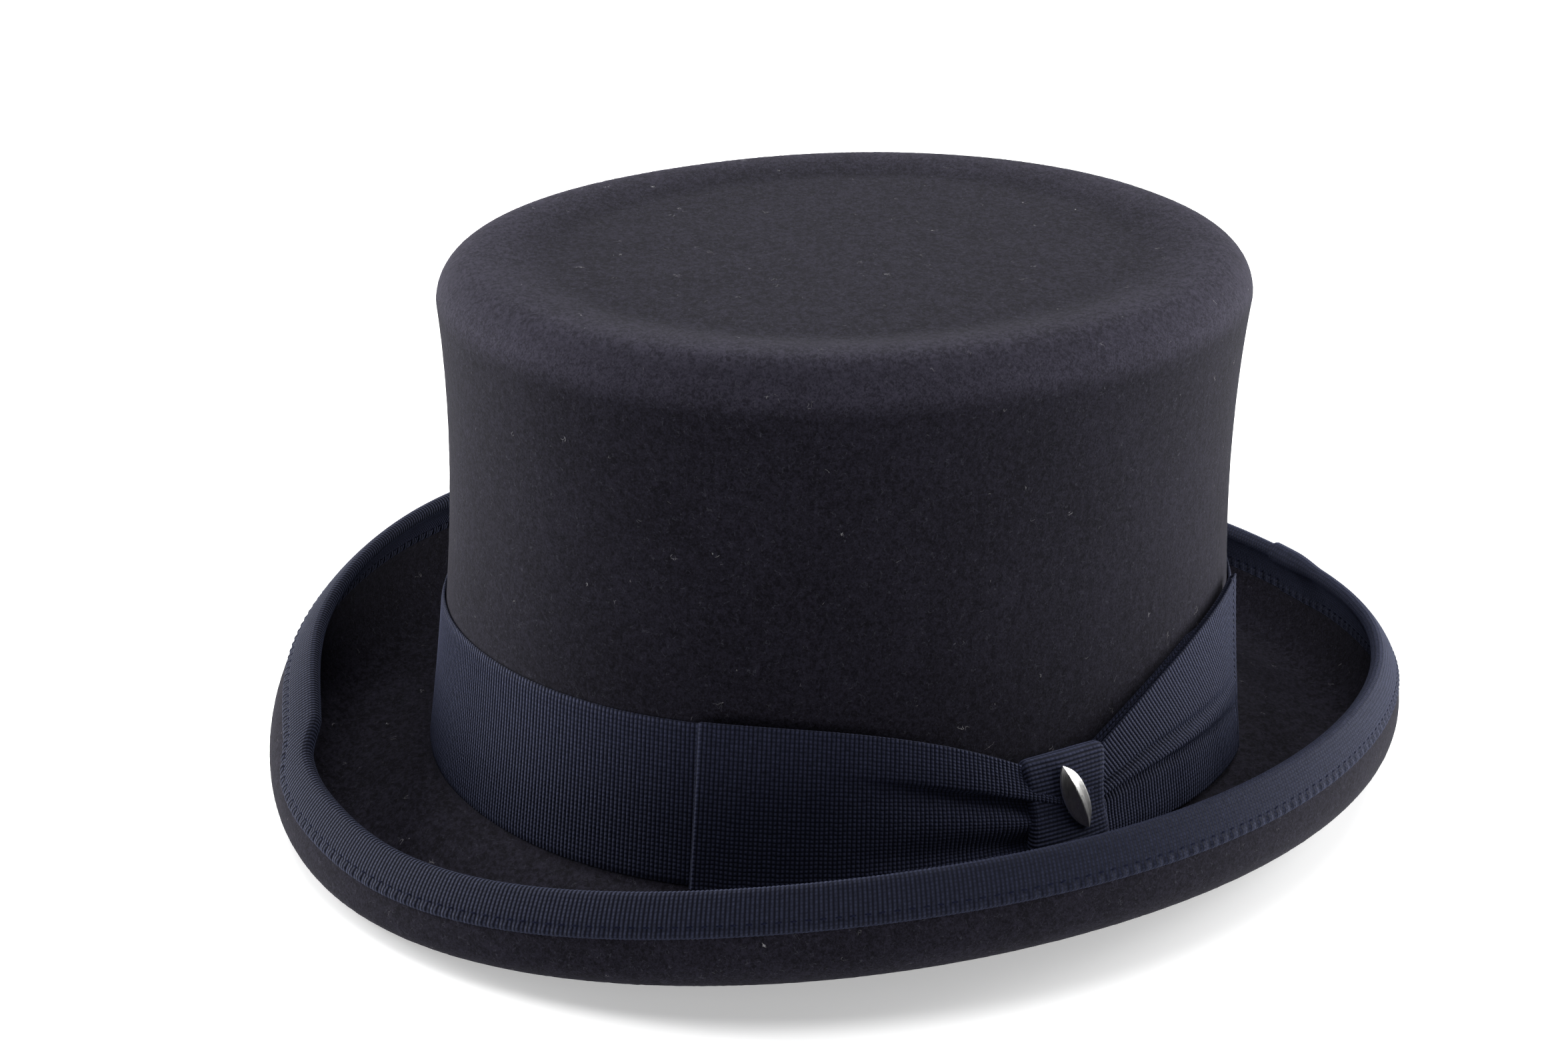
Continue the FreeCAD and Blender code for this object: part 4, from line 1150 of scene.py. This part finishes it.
def reed_material():
    nodes = Nodes("reed_plastic", Roughness=0.45)
    cloud = nodes.noise(nodes.coordinate("Object"), 300.0, 2.0)
    nodes.colours(cloud, (0.50, 0.48, 0.42, 1.0), (0.66, 0.64, 0.58, 1.0))
    nodes.bump(cloud, 0.00005, 0.4)
    return nodes.material


def finish_piece(piece, material, node):
    """Gives a piece its material and slot, in the place of one CAD node."""
    piece.data.materials.append(material)
    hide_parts(node)


# Camera, lights and floor

CAMERA_AZIMUTH = math.radians(55.95)
CAMERA_ELEVATION = math.radians(21.59)
CAMERA_ROLL = math.radians(1.2)
CAMERA_DISTANCE = 817.6
CAMERA_RIGHT = 14.44
CAMERA_UP = 5.32
CAMERA_AIM_HEIGHT = 59.1
CAMERA_LENS = 76.04


def make_camera():
    """The camera where the photo's was. It looks past a point on the crown's axis, a little to one side."""
    level = math.cos(CAMERA_ELEVATION)
    back = Vector((
        math.sin(CAMERA_AZIMUTH) * level,
        -math.cos(CAMERA_AZIMUTH) * level,
        math.sin(CAMERA_ELEVATION),
    ))
    right = Vector((math.cos(CAMERA_AZIMUTH), math.sin(CAMERA_AZIMUTH), 0.0))
    up = back.cross(right)
    aim = Vector((CROWN_X, CROWN_Y, CROWN_BASE_Z + CAMERA_AIM_HEIGHT))
    place = aim + back * CAMERA_DISTANCE - right * CAMERA_RIGHT - up * CAMERA_UP
    rolled_right = right * math.cos(CAMERA_ROLL) + up * math.sin(CAMERA_ROLL)
    rolled_up = up * math.cos(CAMERA_ROLL) - right * math.sin(CAMERA_ROLL)
    data = bpy.data.cameras.new("camera")
    data.lens = CAMERA_LENS
    data.sensor_width = 36.0
    data.clip_start = 0.01
    camera = add_object("camera", data)
    turned = Matrix((rolled_right, rolled_up, back)).transposed().to_4x4()
    camera.matrix_world = Matrix.Translation(place * MM) @ turned
    bpy.context.scene.camera = camera


def area_light(name, place, aim, size, watts):
    data = bpy.data.lights.new(name, "AREA")
    data.shape = "SQUARE"
    data.size = size
    data.energy = watts
    light = add_object(name, data)
    light.location = place
    light.rotation_euler = (aim - place).to_track_quat("-Z", "Y").to_euler()


def soft_sky(name, strength, spread):
    """Even light straight down, as from a wide ceiling of softboxes. spread is in degrees."""
    data = bpy.data.lights.new(name, "SUN")
    data.energy = strength
    data.angle = math.radians(spread)
    add_object(name, data)


def make_floor():
    """A plain white floor, lit up a little by itself so that it stays as pale as the photo's background."""
    half = 6.0
    corners = [(-half, -half, 0), (half, -half, 0), (half, half, 0), (-half, half, 0)]
    mesh = bpy.data.meshes.new("floor")
    mesh.from_pydata(corners, [], [(0, 1, 2, 3)])
    floor = add_object("floor", mesh)
    nodes = Nodes(
        "pale_floor", Base_Color=(0.80, 0.80, 0.80, 1.0), Roughness=0.9, Specular_IOR_Level=0.0,
        Emission_Color=(1.0, 1.0, 1.0, 1.0), Emission_Strength=0.4,
    )
    mesh.materials.append(nodes.material)


def make_world():
    world = bpy.data.worlds.new("studio")
    world.use_nodes = True
    background = world.node_tree.nodes["Background"]
    background.inputs["Color"].default_value = (0.96, 0.97, 1.0, 1.0)
    background.inputs["Strength"].default_value = 0.08
    bpy.context.scene.world = world


def make_lights():
    """Even light overhead, a softbox at each side, and weaker ones behind the hat and by the camera."""
    toward = Vector((math.sin(CAMERA_AZIMUTH), -math.cos(CAMERA_AZIMUTH), 0.0))
    right = Vector((math.cos(CAMERA_AZIMUTH), math.sin(CAMERA_AZIMUTH), 0.0))
    up = Vector((0.0, 0.0, 1.0))
    aim = up * 0.06
    soft_sky("overhead_light", strength=2.15, spread=45.0)
    area_light("back_softbox", toward * -1.5 + up * 0.7, aim, size=1.5, watts=8.0)
    area_light("left_softbox", right * -1.1 - toward * 0.42 + up * 0.38, aim, size=0.8, watts=26.0)
    area_light("right_softbox", right * 1.1 - toward * 0.36 + up * 0.38, aim, size=0.8, watts=27.0)
    area_light("front_softbox", toward * 1.6 + up * 0.7, aim, size=1.2, watts=3.2)


make_camera()
make_world()
make_floor()
make_lights()
bpy.context.scene.view_settings.view_transform = "Standard"

felt_look = felt_material()
ribbon_look = grosgrain_material("navy_grosgrain", RIBBON_DARK, RIBBON_PALE, gap=0.4, sharpness=1.1)
knot_look = grosgrain_material("navy_knot", RIBBON_DARK, RIBBON_PALE, gap=0.78, sharpness=1.7)
binding_look = grosgrain_material("navy_binding", RIBBON_DARK, BINDING_PALE, gap=0.6, sharpness=1.8)
thread_look = thread_material()
metal_look = metal_material()
satin_look = satin_material("slate_satin", *SLATE_SATIN)
piping_look = satin_material("navy_satin", *NAVY_SATIN)

felt = make_felt()
binding = make_binding()
band = make_hat_band()
front_wing = make_wing(
    "bow_front_wing_ribbon", -1.0, FRONT_WING_LENGTH, FRONT_WING_TOP, FRONT_WING_SPREAD,
    FRONT_FOLD_SLANT, front_pleats, 0.0, 61,
)
rear_wing = make_wing(
    "bow_rear_wing_ribbon", 1.0, REAR_WING_LENGTH, REAR_WING_TOP, REAR_WING_SPREAD,
    REAR_FOLD_SLANT, rear_pleats, REAR_RIB_LEAN, 62,
)
knot = make_knot()
sweatband = make_sweatband()
side_lining = make_lining_side()
tip_lining = make_lining_tip()
back_bow = make_back_bow()

finish_piece(felt, felt_look, "felt_body")
finish_piece(binding, binding_look, "brim_binding")
finish_piece(make_binding_seam(), thread_look, "binding_stitches")
finish_piece(band, ribbon_look, "hat_band")
finish_piece(front_wing, ribbon_look, "bow_front_wing")
finish_piece(rear_wing, ribbon_look, "bow_rear_wing")
finish_piece(knot, knot_look, "bow_knot")
finish_piece(make_pin(), metal_look, "pin_leaf")
finish_piece(sweatband, leather_material(), "sweatband")
finish_piece(make_sweatband_seam(), thread_look, "sweatband_stitches")
finish_piece(side_lining, satin_look, "lining_side")
finish_piece(tip_lining, satin_look, "lining_tip")
finish_piece(make_piping(), piping_look, "lining_piping")
for piece in back_bow:
    finish_piece(piece, piping_look, "sweatband_bow")
for node, look in (("pin_prongs", metal_look), ("sweatband_reed", reed_material())):
    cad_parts[node].data.materials.clear()
    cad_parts[node].data.materials.append(look)
